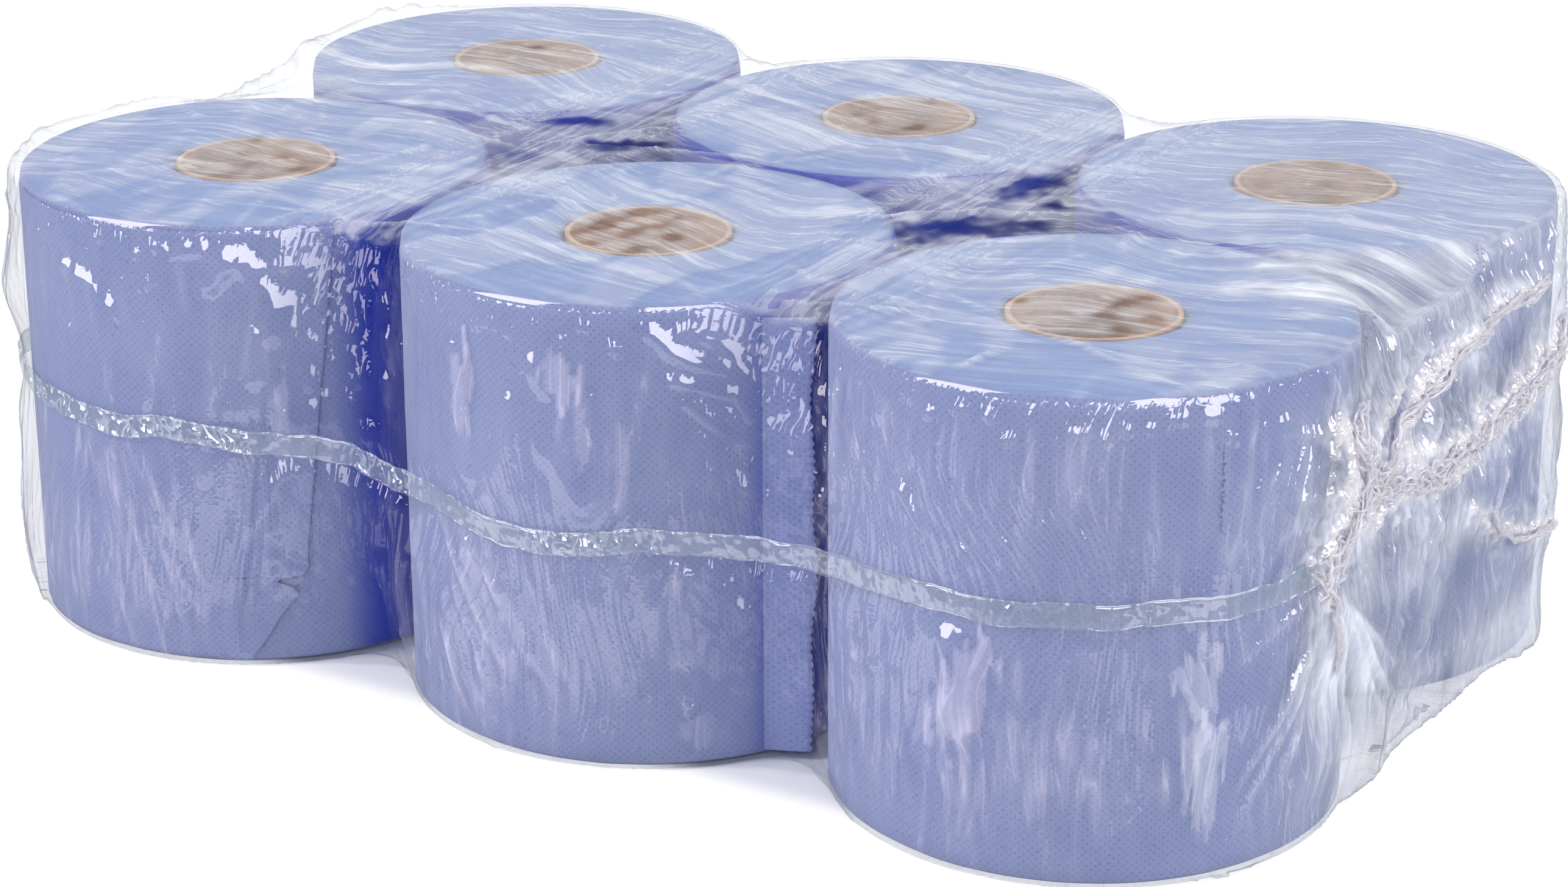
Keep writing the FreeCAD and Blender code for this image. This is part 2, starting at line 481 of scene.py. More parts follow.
class Grower(Nodes):
    # builds one Geometry Nodes tree with named inputs: numbers, whole numbers and vectors, and its material
    def __init__(self, name, inputs):
        super().__init__(bpy.data.node_groups.new(name, "GeometryNodeTree"))
        face = self.tree.interface
        face.new_socket("Geometry", in_out="INPUT", socket_type="NodeSocketGeometry")
        for key, value in inputs.items():
            kind = {float: "Float", int: "Int", tuple: "Vector"}[type(value)]
            face.new_socket(key, in_out="INPUT", socket_type="NodeSocket" + kind).default_value = value
        face.new_socket("Material", in_out="INPUT", socket_type="NodeSocketMaterial")
        face.new_socket("Geometry", in_out="OUTPUT", socket_type="NodeSocketGeometry")
        self.start = self.tree.nodes.new("NodeGroupInput")

    def given(self, key):
        return Sum(self, self.start.outputs[key])

    def moved(self, geometry, offset):
        return self.add("GeometryNodeSetPosition", None, {"Geometry": geometry, "Offset": offset})

    def swept(self, path, profile, sockets=None):
        values = {"Curve": path, "Profile Curve": profile, **(sockets or {})}
        return self.add("GeometryNodeCurveToMesh", None, values)

    def circle(self, steps, radius):
        return self.add("GeometryNodeCurvePrimitiveCircle", None, {"Resolution": steps, "Radius": radius})

    def seeded(self):
        # where a point is, moved up by the seed
        shift = self.add("ShaderNodeCombineXYZ", None, {2: self.given("Seed")})
        return self.vector("ADD", self.add("GeometryNodeInputPosition"), shift)

    def pathOf(self, step):
        # the line that the tree is given, cut into even steps
        line = self.add("GeometryNodeMeshToCurve", None, {"Mesh": self.given("Geometry")})
        return self.add("GeometryNodeResampleCurve", {"mode": "LENGTH"}, {"Curve": line, "Length": step})

    def wander(self, vector, scale, detail, roughness=0.5):
        # a shift to any side of the point
        return self.vector("SUBTRACT", self.noise(vector, scale, detail, roughness, out=1), (0.5, 0.5, 0.5))

    def done(self, geometry):
        real = self.add("GeometryNodeRealizeInstances", None, {"Geometry": geometry})
        painted = self.add("GeometryNodeSetMaterial", None, {"Geometry": real, "Material": self.given("Material")})
        self.add("NodeGroupOutput", None, {0: painted})
        return self.tree


def bakedMesh(piece):
    depsgraph = bpy.context.evaluated_depsgraph_get()
    mesh = bpy.data.meshes.new_from_object(piece.evaluated_get(depsgraph))
    bpy.data.objects.remove(piece)
    return mesh


def grown(name, tree, values, base=None):
    # runs a tree on a piece and keeps the result as a plain mesh
    carrier = newPiece(name + "Base", base or bpy.data.meshes.new(name + "Base"))
    modifier = carrier.modifiers.new("grow", "NODES")
    modifier.node_group = tree
    for item in tree.interface.items_tree:
        if item.in_out == "INPUT" and item.name in values:
            modifier[item.identifier] = values[item.name]
    mesh = bakedMesh(carrier)
    mesh.name = name
    mesh.shade_smooth()
    return newPiece(name, mesh)


# rolls, each wound round its core
roll = {
    "rim": 0.0028,
    "around": 300,
    "profile": 84,
    "uneven": 0.00045,
    "hill": 38.0,
    "ledges": 0.0006,
    "ledge": 260.0,
}


def woundRollTree():
    inputs = {
        "Radius": rollRadius,
        "Bore": boreRadius,
        "Height": rollTop - rollFoot,
        "Rim": roll["rim"],
        "Uneven": roll["uneven"],
        "Ledges": roll["ledges"],
        "Centre": (0, 0, 0),
        "Seed": 0.0,
    }
    grow = Grower("woundRoll", inputs)
    outer, bore, uneven = grow.given("Radius"), grow.given("Bore"), grow.given("Uneven")
    block = grow.add("GeometryNodeCurvePrimitiveQuadrilateral", None, {0: outer - bore, 1: grow.given("Height")})
    values = {"Curve": block, "Count": 5, "Radius": grow.given("Rim")}
    soft = grow.add("GeometryNodeFilletCurve", {"mode": "POLY"}, values)
    profile = grow.add("GeometryNodeResampleCurve", None, {"Curve": soft, "Count": roll["profile"]})
    wound = grow.swept(grow.circle(roll["around"], (outer + bore) * 0.5), profile)
    normal = grow.add("GeometryNodeInputNormal")
    hills = grow.noise(grow.seeded(), roll["hill"]) - 0.5
    flat = grow.vector("MULTIPLY", grow.add("GeometryNodeInputPosition"), (1, 1, 0))
    away = grow.add("ShaderNodeVectorMath", {"operation": "LENGTH"}, {0: flat}, out="Value")
    # ledges run round the ends, where one turn stands higher than the next
    onlyAway = grow.add("ShaderNodeCombineXYZ", None, {0: away + grow.given("Seed")})
    ledges = (grow.noise(onlyAway, roll["ledge"], 1.0) - 0.5) * grow.given("Ledges") * abs(grow.axes(normal)[2])
    # drawn in a little, so that the uneven paper stays inside its size
    push = grow.scaled(normal, hills * uneven + ledges - uneven * 0.4)
    values = {"Geometry": grow.moved(wound, push), "Translation": grow.given("Centre")}
    return grow.done(grow.add("GeometryNodeTransform", None, values))


paperMaterial = paperFinish()
cardMaterial = cardFinish()
for name in coreNames:
    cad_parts[name].data.materials.clear()
    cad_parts[name].data.materials.append(cardMaterial)


def outward(mesh):
    # doubles merged and every face turned outwards
    shape = bmesh.new()
    shape.from_mesh(mesh)
    bmesh.ops.remove_doubles(shape, verts=shape.verts, dist=1e-6)
    bmesh.ops.recalc_face_normals(shape, faces=shape.faces)
    shape.to_mesh(mesh)
    shape.free()
    mesh.shade_smooth()


def addRolls():
    tree = woundRollTree()
    for number, name in enumerate(rollNames):
        centre = middleOf(name.replace("roll", "core"))
        place = (centre.x, centre.y, (rollTop + rollFoot) / 2)
        values = {"Centre": place, "Seed": 3.7 * number, "Material": paperMaterial}
        piece = grown(name.replace("roll_", "woundRoll_"), tree, values)
        outward(piece.data)
        shownFor(piece, name)


def sheetPiece(name, grid, thickness, outwardSide, material, node):
    # a grid of points made a sheet of paper with two faces and closed edges
    lines, across = len(grid), len(grid[0])
    front = [tuple(point) for line in grid for point in line]
    back = []
    for line, sides in zip(grid, outwardSide):
        back += [tuple(Vector(point) - Vector(side) * thickness) for point, side in zip(line, sides)]
    faces = []
    for r in range(lines - 1):
        for c in range(across - 1):
            a = r * across + c
            faces.append((a, a + 1, a + across + 1, a + across))
    count = len(front)
    faces += [tuple(index + count for index in reversed(face)) for face in faces]
    rim = [c for c in range(across)] + [r * across + across - 1 for r in range(1, lines)]
    rim += [(lines - 1) * across + c for c in range(across - 2, -1, -1)]
    rim += [r * across for r in range(lines - 2, 0, -1)]
    for here, there in zip(rim, rim[1:] + rim[:1]):
        faces.append((there, here, here + count, there + count))
    mesh = meshFrom(name, front + back, faces)
    outward(mesh)
    mesh.materials.append(material)
    shownFor(newPiece(name, mesh), node)


# the outer turn of the front left roll, standing a little off it, with a torn lower corner
looseTurn = {
    "start": -127.0,
    # the free edge: how high, degrees round
    "edge": (
        (0.0029, -57.2), (0.029, -46.0), (0.0315, -46.5), (0.0342, -49.6),
        (0.0354, -49.0), (0.0362, -43.4), (0.075, -40.6), (0.171, -33.0),
    ),
    "thickness": 0.0005,
    "off": 0.0006,
    "flare": 0.0008,
    "columns": 170,
    # lines folded in it: degrees round at the foot and at the top, how high, degrees wide
    "creases": ((-61.6, -46.0, 0.0006, 0.7), (-51.5, -52.5, 0.0004, 1.3)),
}


def addLooseTurn():
    centre = middleOf("core_front_left")
    # closer together where the corner is torn
    bands = ((0.0030, 0.0268, 13), (0.0278, 0.0380, 26), (0.0400, 0.1711, 66))
    heights = np.concatenate([np.linspace(*band) for band in bands])
    chance = np.random.default_rng(5)
    ragged = np.interp(heights, np.linspace(0, 0.18, 60), chance.normal(0, 0.35, 60))
    ragged *= 0.25 + np.interp(heights, (0.026, 0.030, 0.037, 0.041), (0.3, 1.6, 1.6, 0.0))
    edges = np.interp(heights, *zip(*looseTurn["edge"])) + ragged
    grid, sides = [], []
    for z, edge in zip(heights, edges):
        line, lineSides = [], []
        lower = 1 - smoothStep(z, 0.07, 0.12) * 0.8
        for share in np.linspace(0, 1, looseTurn["columns"]):
            degrees = looseTurn["start"] + (edge - looseTurn["start"]) * share
            angle = math.radians(degrees)
            off = looseTurn["off"] * min(1, share * 3) + looseTurn["flare"] * share ** 6
            for foot, top, high, wide in looseTurn["creases"]:
                place = foot + (top - foot) * z / rollTop
                off += high * lower * math.exp(-((degrees - place) / wide) ** 2)
            reach = rollRadius + off + 0.00025 * math.sin(z * 90 + degrees * 0.3) * share
            side = (math.cos(angle), math.sin(angle), 0)
            line.append((centre.x + reach * side[0], centre.y + reach * side[1], z))
            lineSides.append(side)
        grid.append(line)
        sides.append(lineSides)
    sheetPiece("looseTurn", grid, looseTurn["thickness"], sides, paperMaterial, "roll_front_left")


# a strip of the front middle roll that stands in the gap, with a perforated free edge
looseStrip = {
    "angle": -31.4,
    "lean": 32.0,
    "clear": 0.0046,
    "thickness": 0.0007,
    "low": 0.0034,
    "high": 0.1656,
    "tooth": 0.0032,
    "bite": 0.0010,
}


def towards(degrees):
    angle = math.radians(degrees)
    return Vector((math.cos(angle), math.sin(angle), 0))


def addLooseStrip():
    centre = middleOf("core_front_middle")
    neighbour = middleOf("core_front_right")
    leave, lean = looseStrip["angle"], looseStrip["lean"]
    start = Vector((centre.x, centre.y, 0)) + towards(leave) * (rollRadius - 0.0006)
    along, side = towards(leave + 90 - lean), towards(leave - lean)
    # it reaches as far as the next roll, less what it keeps clear
    offset = start - Vector((neighbour.x, neighbour.y, 0))
    half = offset.dot(along)
    reach = -half - math.sqrt(half * half - offset.dot(offset) + (rollRadius + looseStrip["clear"]) ** 2)
    grid, sides = [], []
    for z in np.linspace(looseStrip["low"], looseStrip["high"], 310):
        tooth = (z / looseStrip["tooth"]) % 1
        waves = 0.0006 * (math.sin(z * 61) + math.sin(z * 143 + 1)) + 0.0006
        edge = reach - looseStrip["bite"] * (abs(tooth - 0.5) * 2) - waves
        line = []
        for share in np.linspace(-0.12, 1, 12):
            out = max(share, 0)
            bend = 0.0011 * math.sin(share * 2.6 + z * 14) * out + 0.0007 * math.sin(z * 70) * out ** 2
            line.append(start + along * edge * share + side * bend + Vector((0, 0, z)))
        grid.append(line)
        sides.append([side] * len(line))
    # the strip takes none of the painted gap shade
    material = paperFinish("stripPaper", gapShadeMost=0.0)
    sheetPiece("looseStrip", grid, looseStrip["thickness"], sides, material, "roll_front_middle")


addRolls()
addLooseTurn()
addLooseStrip()
print("stage: rolls and cores")


# film, drawn tight over the rolls and left a little slack, so that it creases
film = {
    "cell": 0.0058,
    "settle": 420,
    "pull": 0.5,
    "standOff": 0.0006,
    "rim": 0.0031,
    "endSag": 0.006,
    "endDip": 0.009,
    "drawIn": 0.00010,
    "rounds": 110,
    "gain": 0.8,
    "keep": 0.86,
    "soften": 0.03,
    "slack": 0.030,
    "tight": 0.004,
    "lowest": 0.00012,
    "seed": 11,
}
# the loose turn holds the film off a little, this way round the front left roll
lapSwing = {"angle": -39.0, "out": 0.0008}
# how high the weld runs: along the pack, up
seamStops = [
    (-0.30, 0.097), (-0.226, 0.095), (-0.145, 0.094), (-0.09, 0.091), (-0.02, 0.087),
    (0.03, 0.0865), (0.09, 0.092), (0.15, 0.096), (0.22, 0.099), (0.275, 0.101),
]


def rumple(points, wave, seed, waves=40):
    # smooth random hills of about this wavelength, the same every time
    chance = np.random.default_rng(seed)
    spins = chance.normal(size=(waves, 3))
    spins *= (2 * np.pi / wave) / np.linalg.norm(spins, axis=1)[:, None]
    spins *= chance.uniform(0.6, 1.3, (waves, 1))
    phases = chance.uniform(0, 2 * np.pi, waves)
    hills = np.zeros(len(points))
    for spin, phase in zip(spins, phases):
        hills += np.sin(points @ spin + phase)
    return hills / math.sqrt(waves / 2)


def arrayOf(items, key, wide, kind=float):
    flat = np.zeros(len(items) * wide, kind)
    items.foreach_get(key, flat)
    return flat.reshape(-1, wide)


def pointsOf(mesh):
    return arrayOf(mesh.vertices, "co", 3)


def normalsOf(mesh):
    return arrayOf(mesh.vertices, "normal", 3)


def edgesOf(mesh):
    return arrayOf(mesh.edges, "vertices", 2, int)


def quadsOf(mesh):
    return arrayOf(mesh.loops, "vertex_index", 1, int).reshape(-1, 4)


def putPoints(mesh, points):
    mesh.vertices.foreach_set("co", points.ravel())
    mesh.update()


def perPoint(links, atFirst, atSecond):
    # adds up at each point what its links bring it
    total = np.empty((links.max() + 1, 3))
    for axis in range(3):
        total[:, axis] = np.bincount(links[:, 0], atFirst[:, axis], len(total))
        total[:, axis] += np.bincount(links[:, 1], atSecond[:, axis], len(total))
    return total


def linksPer(links):
    return np.bincount(links.ravel())[:, None]


def seamHeightAt(points):
    return np.interp(points[:, 0], *zip(*seamStops))


def nearestRoll(points):
    # the middle of the roll that each point belongs to
    cx = pitch * np.clip(np.round(points[:, 0] / pitch), -1, 1)
    return cx, np.where(points[:, 1] > 0, rowShift, -rowShift)


def hullMesh():
    # a slab with round corners that just holds the six rolls
    reach = rollRadius + film["standOff"]
    ring = []
    for quarter, (sideX, sideY) in enumerate(((1, 1), (-1, 1), (-1, -1), (1, -1))):
        for step in range(25):
            angle = math.radians(90 * quarter + 90 * step / 24)
            ring.append((sideX * pitch + reach * math.cos(angle), sideY * rowShift + reach * math.sin(angle)))
    count = len(ring)
    points = [(x, y, 0.0) for x, y in ring] + [(x, y, packTop) for x, y in ring]
    faces = [(i, (i + 1) % count, count + (i + 1) % count, count + i) for i in range(count)]
    faces.append(tuple(reversed(range(count))))
    faces.append(tuple(range(count, 2 * count)))
    piece = newPiece("filmSlab", meshFrom("filmSlab", points, faces, smooth=False))
    remesh = piece.modifiers.new("cells", "REMESH")
    remesh.mode = "VOXEL"
    remesh.voxel_size = film["cell"]
    return bakedMesh(piece)


def pushOut(points, cx, cy):
    # out of an upright roll with rounded rims
    half = (rollTop - rollFoot) / 2
    middle = (rollTop + rollFoot) / 2
    rim = film["rim"]
    gap = film["standOff"]
    dx = points[:, 0] - cx
    dy = points[:, 1] - cy
    away = np.hypot(dx, dy) + 1e-9
    outX = away - (rollRadius + gap - rim)
    outZ = np.abs(points[:, 2] - middle) - (half + gap - rim)
    corner = np.hypot(np.maximum(outX, 0), np.maximum(outZ, 0))
    depth = corner + np.minimum(np.maximum(outX, outZ), 0) - rim
    push = np.maximum(-depth, 0)
    atCorner = (outX > 0) & (outZ > 0)
    sideways = outX > outZ
    nx = np.where(atCorner, outX / (corner + 1e-9), np.where(sideways, 1.0, 0.0))
    nz = np.where(atCorner, outZ / (corner + 1e-9), np.where(sideways, 0.0, 1.0))
    points[:, 0] += push * nx * dx / away
    points[:, 1] += push * nx * dy / away
    points[:, 2] += push * nz * np.sign(points[:, 2] - middle)


def clearOfRolls(points):
    pushOut(points, *nearestRoll(points))
    near = (np.abs(points[:, 0] + pitch) < 0.1) & (points[:, 1] < 0)
    shifted = points[near]
    swing, out = math.radians(lapSwing["angle"]), lapSwing["out"]
    pushOut(shifted, out * math.cos(swing) - pitch, out * math.sin(swing) - rowShift)
    points[near] = shifted
    # the bunched film keeps the ends from drawing in far, and the sides draw in only so much
    share = np.clip(1 - (points[:, 1] / rowShift) ** 2, 0, 1)
    reach = pitch + rollRadius + film["standOff"] - film["endSag"] * share
    bound = rollTop - film["endDip"]
    insideX = reach - np.abs(points[:, 0])
    insideZ = bound - points[:, 2]
    inside = (np.abs(points[:, 0]) > pitch) & (insideX > 0) & (insideZ > 0) & (share > 0)
    outward = inside & (insideX < insideZ) & (insideX < points[:, 2])
    upward = inside & (insideZ < insideX) & (insideZ < points[:, 2])
    points[:, 0] = np.where(outward, np.sign(points[:, 0]) * reach, points[:, 0])
    points[:, 2] = np.where(upward, bound, points[:, 2])
    points[:, 2] = np.maximum(points[:, 2], film["lowest"])
    return points


def drawTight(mesh):
    points = pointsOf(mesh)
    edges = edgesOf(mesh)
    valence = linksPer(edges)
    for _ in range(film["settle"]):
        around = perPoint(edges, points[edges[:, 1]], points[edges[:, 0]]) / valence
        points += (around - points) * film["pull"]
        # the shrinking draws the long sides in between the rolls
        valley = np.exp(-((np.abs(points[:, 0]) - pitch / 2) / 0.030) ** 2)
        onWall = (np.abs(points[:, 1]) > rowShift) & (points[:, 2] > 0.006) & (points[:, 2] < rollTop - 0.006)
        points[:, 1] -= np.sign(points[:, 1]) * film["drawIn"] * valley * onWall
        clearOfRolls(points)
    putPoints(mesh, points)
    return mesh


def subdivided(mesh):
    piece = newPiece("filmWork", mesh)
    finer = piece.modifiers.new("finer", "SUBSURF")
    finer.levels = finer.render_levels = 1
    return bakedMesh(piece)


def grainOf(points, normals):
    # the direction across the creases, and how slack the film is there
    none = np.zeros(len(points))
    upward = smoothStep(np.abs(normals[:, 2]), 0.5, 0.85)
    flat = np.stack([-normals[:, 1], normals[:, 0], none], axis=1)
    cx, cy = nearestRoll(points)
    dx = points[:, 0] - cx
    dy = points[:, 1] - cy
    away = np.hypot(dx, dy) + 1e-9
    # on top they run round each roll, and along the pack between two rolls
    circling = np.stack([-dy / away, dx / away, none], axis=1)
    valley = smoothStep(away, 0.05, 0.088)[:, None]
    top = circling * (1 - valley) + np.array([1.0, 0.0, 0.0]) * valley
    across = flat * (1 - upward)[:, None] + top * upward[:, None]
    # and they fan out from the bunched strands at the two ends
    atEnd = smoothStep(np.abs(points[:, 0]), 0.25, 0.268) * (1 - upward)
    fanY = points[:, 1] + 0.075
    fanZ = points[:, 2] - 0.105
    far = np.hypot(fanY, fanZ) + 1e-9
    fan = np.stack([none, -fanZ / far, fanY / far], axis=1)
    across = across * (1 - atEnd)[:, None] + fan * atEnd[:, None]
    across /= np.linalg.norm(across, axis=1)[:, None] + 1e-9
    uneven = 0.75 + 0.65 * rumple(points, 0.11, film["seed"] + 1)
    slack = film["slack"] * np.clip(uneven, 0.15, 2.0)
    slack *= 1 + 0.5 * smoothStep(away, 0.075, 0.095) - 0.5 * atEnd - 0.45 * upward
    nearSeam = smoothStep(np.abs(points[:, 2] - seamHeightAt(points)), 0.004, 0.016)
    slack *= 1 - (1 - upward) * (1 - nearSeam)
    slack *= np.where(points[:, 2] < 0.004, 0.2, 1.0)
    return across, slack


def crease(mesh):
    # the links want to be a little longer across the grain than the shape has room for, so they buckle
    points = pointsOf(mesh)
    normals = normalsOf(mesh)
    quads = quadsOf(mesh)
    links = np.vstack([edgesOf(mesh), quads[:, [0, 2]], quads[:, [1, 3]]])
    first, second = links[:, 0], links[:, 1]
    across, slack = grainOf(points, normals)
    span = points[second] - points[first]
    length = np.linalg.norm(span, axis=1)
    lean = (np.einsum("ij,ij->i", span, across[first]) / length) ** 2
    rest = length * (1 + slack[first] * lean - film["tight"] * (1 - lean))
    valence = linksPer(links)
    start = points.copy()
    points += normals * (0.00025 * rumple(points, 0.007, film["seed"]))[:, None]
    speed = np.zeros_like(points)
    for _ in range(film["rounds"]):
        span = points[second] - points[first]
        length = np.sqrt(np.einsum("ij,ij->i", span, span))
        pull = span * (0.5 * (1 - rest / length))[:, None]
        speed = speed * film["keep"] + perPoint(links, pull, -pull) * film["gain"] * 2 / valence
        points += speed
        shift = points - start
        points += (perPoint(links, shift[second], shift[first]) / valence - shift) * film["soften"]
        clearOfRolls(points)
    putPoints(mesh, points)
    return mesh


# taut folds over the hollows, as lines of (across, along)
tautFolds = [
    ((0.040, -0.057), (0.060, -0.044), (0.082, -0.025), (0.099, -0.011), (0.120, -0.003)),
    ((0.080, 0.006), (0.086, 0.035), (0.088, 0.083)),
    ((-0.090, -0.056), (-0.092, -0.030), (-0.087, -0.013), (-0.075, 0.008), (-0.067, 0.021)),
    ((-0.100, -0.022), (-0.078, -0.016), (-0.052, -0.006), (-0.020, 0.002)),
]
# clear spots in the film over the hollows: across, along, half as long, half as wide, degrees round
clearSpots = [
    (0.100, -0.034, 0.027, 0.0125, 40),
    (0.096, 0.023, 0.026, 0.0085, 86),
    (0.114, 0.006, 0.008, 0.0045, 10),
    (-0.070, -0.008, 0.026, 0.0075, 30),
    (-0.100, 0.012, 0.014, 0.0070, 20),
]
# the same on the right end: along, up, half as long, half as high
clearOnEnd = [(0.045, 0.042, 0.046, 0.022), (0.064, 0.083, 0.028, 0.015), (0.016, 0.130, 0.032, 0.007)]
# where the film bunched and melted together: the end, how thick, how milky, the stops (along, up, half as wide)
melted = [
    (1, 0.0030, 0.62, (
        (-0.095, 0.151, 0.004), (-0.091, 0.143, 0.006), (-0.087, 0.132, 0.009), (-0.083, 0.121, 0.011),
        (-0.088, 0.112, 0.010), (-0.099, 0.106, 0.007), (-0.103, 0.099, 0.005), (-0.098, 0.088, 0.003),
    )),
    (1, 0.0016, 0.30, ((-0.074, 0.136, 0.005), (-0.058, 0.143, 0.004), (-0.042, 0.148, 0.003))),
    (1, 0.0028, 0.50, (
        (-0.050, 0.118, 0.005), (-0.043, 0.128, 0.005), (-0.038, 0.136, 0.0045), (-0.025, 0.142, 0.004),
        (-0.009, 0.145, 0.004), (0.015, 0.148, 0.0035), (0.044, 0.150, 0.003), (0.082, 0.152, 0.002),
    )),
    (1, 0.0028, 0.52, (
        (-0.078, 0.120, 0.008), (-0.060, 0.117, 0.009), (-0.036, 0.110, 0.008), (-0.006, 0.104, 0.008),
        (0.010, 0.107, 0.009), (0.026, 0.110, 0.009), (0.050, 0.110, 0.008), (0.074, 0.112, 0.007),
        (0.092, 0.116, 0.006), (0.108, 0.123, 0.005),
    )),
    (1, 0.0014, 0.30, ((-0.060, 0.127, 0.004), (-0.021, 0.117, 0.004), (0.010, 0.108, 0.004))),
    (1, 0.0018, 0.30, (
        (0.028, 0.081, 0.002), (0.043, 0.072, 0.003), (0.065, 0.060, 0.004), (0.087, 0.053, 0.004),
        (0.103, 0.052, 0.003),
    )),
    (1, 0.0012, 0.20, ((0.048, 0.105, 0.003), (0.060, 0.090, 0.002), (0.050, 0.072, 0.002))),
    (-1, 0.0026, 0.45, (
        (-0.100, 0.094, 0.005), (-0.060, 0.100, 0.007), (-0.030, 0.104, 0.008), (0.040, 0.101, 0.007),
        (0.095, 0.092, 0.004),
    )),
    (-1, 0.0022, 0.40, ((-0.034, 0.103, 0.005), (-0.008, 0.088, 0.006), (0.042, 0.100, 0.005))),
    (-1, 0.0022, 0.45, ((-0.086, 0.096, 0.005), (-0.094, 0.112, 0.006), (-0.090, 0.130, 0.004))),
]
# folds and creases pressed into the film, and the mist that each one leaves
folds = {
    "small": {"count": 190, "long": (0.006, 0.018), "wide": (0.0018, 0.0034), "high": (0.0007, 0.0017), "lean": 45},
    "big": {"count": 70, "long": (0.045, 0.120), "wide": (0.0035, 0.0065), "high": (0.0012, 0.0028), "lean": 16},
    "mist": 0.02,
    "most": 0.0060,
    "rimStep": 0.0075,
    "bubbles": 190,
    "fan": 30,
    "seed": 23,
}
# combs of long streaks, below the rims and above the feet: apart, how high up, its spread, how long, lean
combs = [
    (0.0052, 0.125, 0.014, 0.050, 5),
    (0.0042, 0.030, 0.009, 0.052, -3),
    (0.00672, 0.078, 0.006, 0.022, 0),
]
# fine streaks on the front rolls: column, how many, degrees round, up (or hanging from the rim),
# how long, how wide, how high, the lean's spread and middle, how milky
streaks = [
    (1, 46, (-6, 56), (0.030, 0.062), (0.012, 0.032), (0.0009, 0.0015), (0.0003, 0.0008), (3, 0), (0.08, 0.24)),
    (0, 30, (-24, 12), (0.025, 0.080), (0.018, 0.045), (0.0010, 0.0018), (0.0004, 0.0010), (5, -24), (0.06, 0.22)),
    (1, 70, (-52, 42), None, (0.022, 0.060), (0.0007, 0.0012), (0.0003, 0.0008), (4, 3), (0.01, 0.085)),
    (-1, 34, (-62, -8), (0.014, 0.078), (0.022, 0.055), (0.0008, 0.0013), (0.0003, 0.0008), (5, 14), (0.05, 0.20)),
    (-1, 34, (-2, 26), (0.014, 0.078), (0.022, 0.055), (0.0008, 0.0013), (0.0003, 0.0008), (5, -16), (0.05, 0.20)),
]
# big smooth folds on the front rolls: column, stops (degrees round the roll, up), how wide, how high
bigFolds = [
    (-1, ((28, 0.152), (30, 0.157), (36, 0.160), (39, 0.153), (42, 0.144), (44, 0.135)), 0.0044, 0.0034),
    (-1, ((47, 0.144), (50, 0.134), (53, 0.125), (59, 0.117)), 0.0050, 0.0040),
    (-1, ((40, 0.131), (40, 0.124), (39, 0.116)), 0.0036, 0.0030),
    (-1, ((20, 0.163), (26, 0.165), (31, 0.163)), 0.0030, 0.0020),
    (-1, ((-12, 0.150), (-4, 0.146), (2, 0.138)), 0.0050, 0.0026),
    (0, ((34, 0.164), (39, 0.157), (46, 0.153), (57, 0.151), (71, 0.139)), 0.0028, 0.0026),
    (0, ((47, 0.162), (53, 0.160), (69, 0.147)), 0.0024, 0.0022),
    (0, ((40, 0.147), (47, 0.145), (61, 0.143), (68, 0.136)), 0.0024, 0.0022),
    (0, ((44, 0.140), (49, 0.135), (61, 0.129), (68, 0.128)), 0.0026, 0.0022),
    (0, ((-16, 0.149), (-14, 0.135), (-17, 0.120), (-12, 0.104)), 0.0046, 0.0024),
    (0, ((8, 0.150), (14, 0.138), (12, 0.118), (19, 0.098)), 0.0048, 0.0026),
    (0, ((20, 0.140), (24, 0.122), (22, 0.104)), 0.0040, 0.0022),
    (1, ((-15, 0.132), (-10, 0.122)), 0.0030, 0.0026),
    (1, ((-2, 0.082), (0, 0.068), (-7, 0.050), (-10, 0.040)), 0.0080, 0.0030),
    (1, ((45, 0.080), (50, 0.066), (49, 0.048), (46, 0.036)), 0.0080, 0.0030),
]
# soft pale patches: column, degrees round the roll, up, half as wide, half as high, lean, how milky
patches = [
    (1, 1, 0.066, 0.0085, 0.023, 18, 0.30),
    (1, 51, 0.074, 0.0070, 0.014, 0, 0.26),
    (1, 52, 0.042, 0.0075, 0.022, 4, 0.24),
    (0, -12, 0.134, 0.0050, 0.017, 6, 0.22),
    (0, 14, 0.146, 0.0070, 0.010, -20, 0.22),
    (0, 18, 0.128, 0.0028, 0.016, -6, 0.16),
    (0, 45, 0.016, 0.0080, 0.008, 30, 0.22),
    (0, 27, 0.118, 0.0030, 0.022, -4, 0.14),
    (-1, 47, 0.100, 0.0040, 0.014, 4, 0.30),
    (-1, -2, 0.060, 0.0060, 0.030, 6, 0.10),
]
# where creases fan out from the melted film: the end, then (along, up)
knots = {
    1: (
        (-0.101, 0.097), (-0.084, 0.124), (-0.085, 0.147), (-0.046, 0.136), (0.017, 0.147), (0.084, 0.152),
        (-0.028, 0.109), (0.061, 0.110), (0.108, 0.124), (0.098, 0.054),
    ),
    -1: ((-0.092, 0.092), (-0.030, 0.104), (-0.008, 0.086), (0.040, 0.101), (0.092, 0.092)),
}


# how milky the film is where, from 0 for clear to 1; on the lid this is partly painted sheen
hazeAndSheen = {
    "cloudsOnWalls": 0.030,
    "cloudsOnTop": 0.24,
    "end": 0.20,
    "lowAtBack": 0.26,
    "underKnot": 0.10,
    "hollows": 0.20,
    "paintedSheenToBack": 0.14,
    "topToSides": 0.10,
    "overCores": 0.12,
    "endHollows": 0.10,
    "topMost": 0.30,
    "most": 0.9,
    "gapsCleared": 0.94,
    "spotsCleared": 0.96,
}


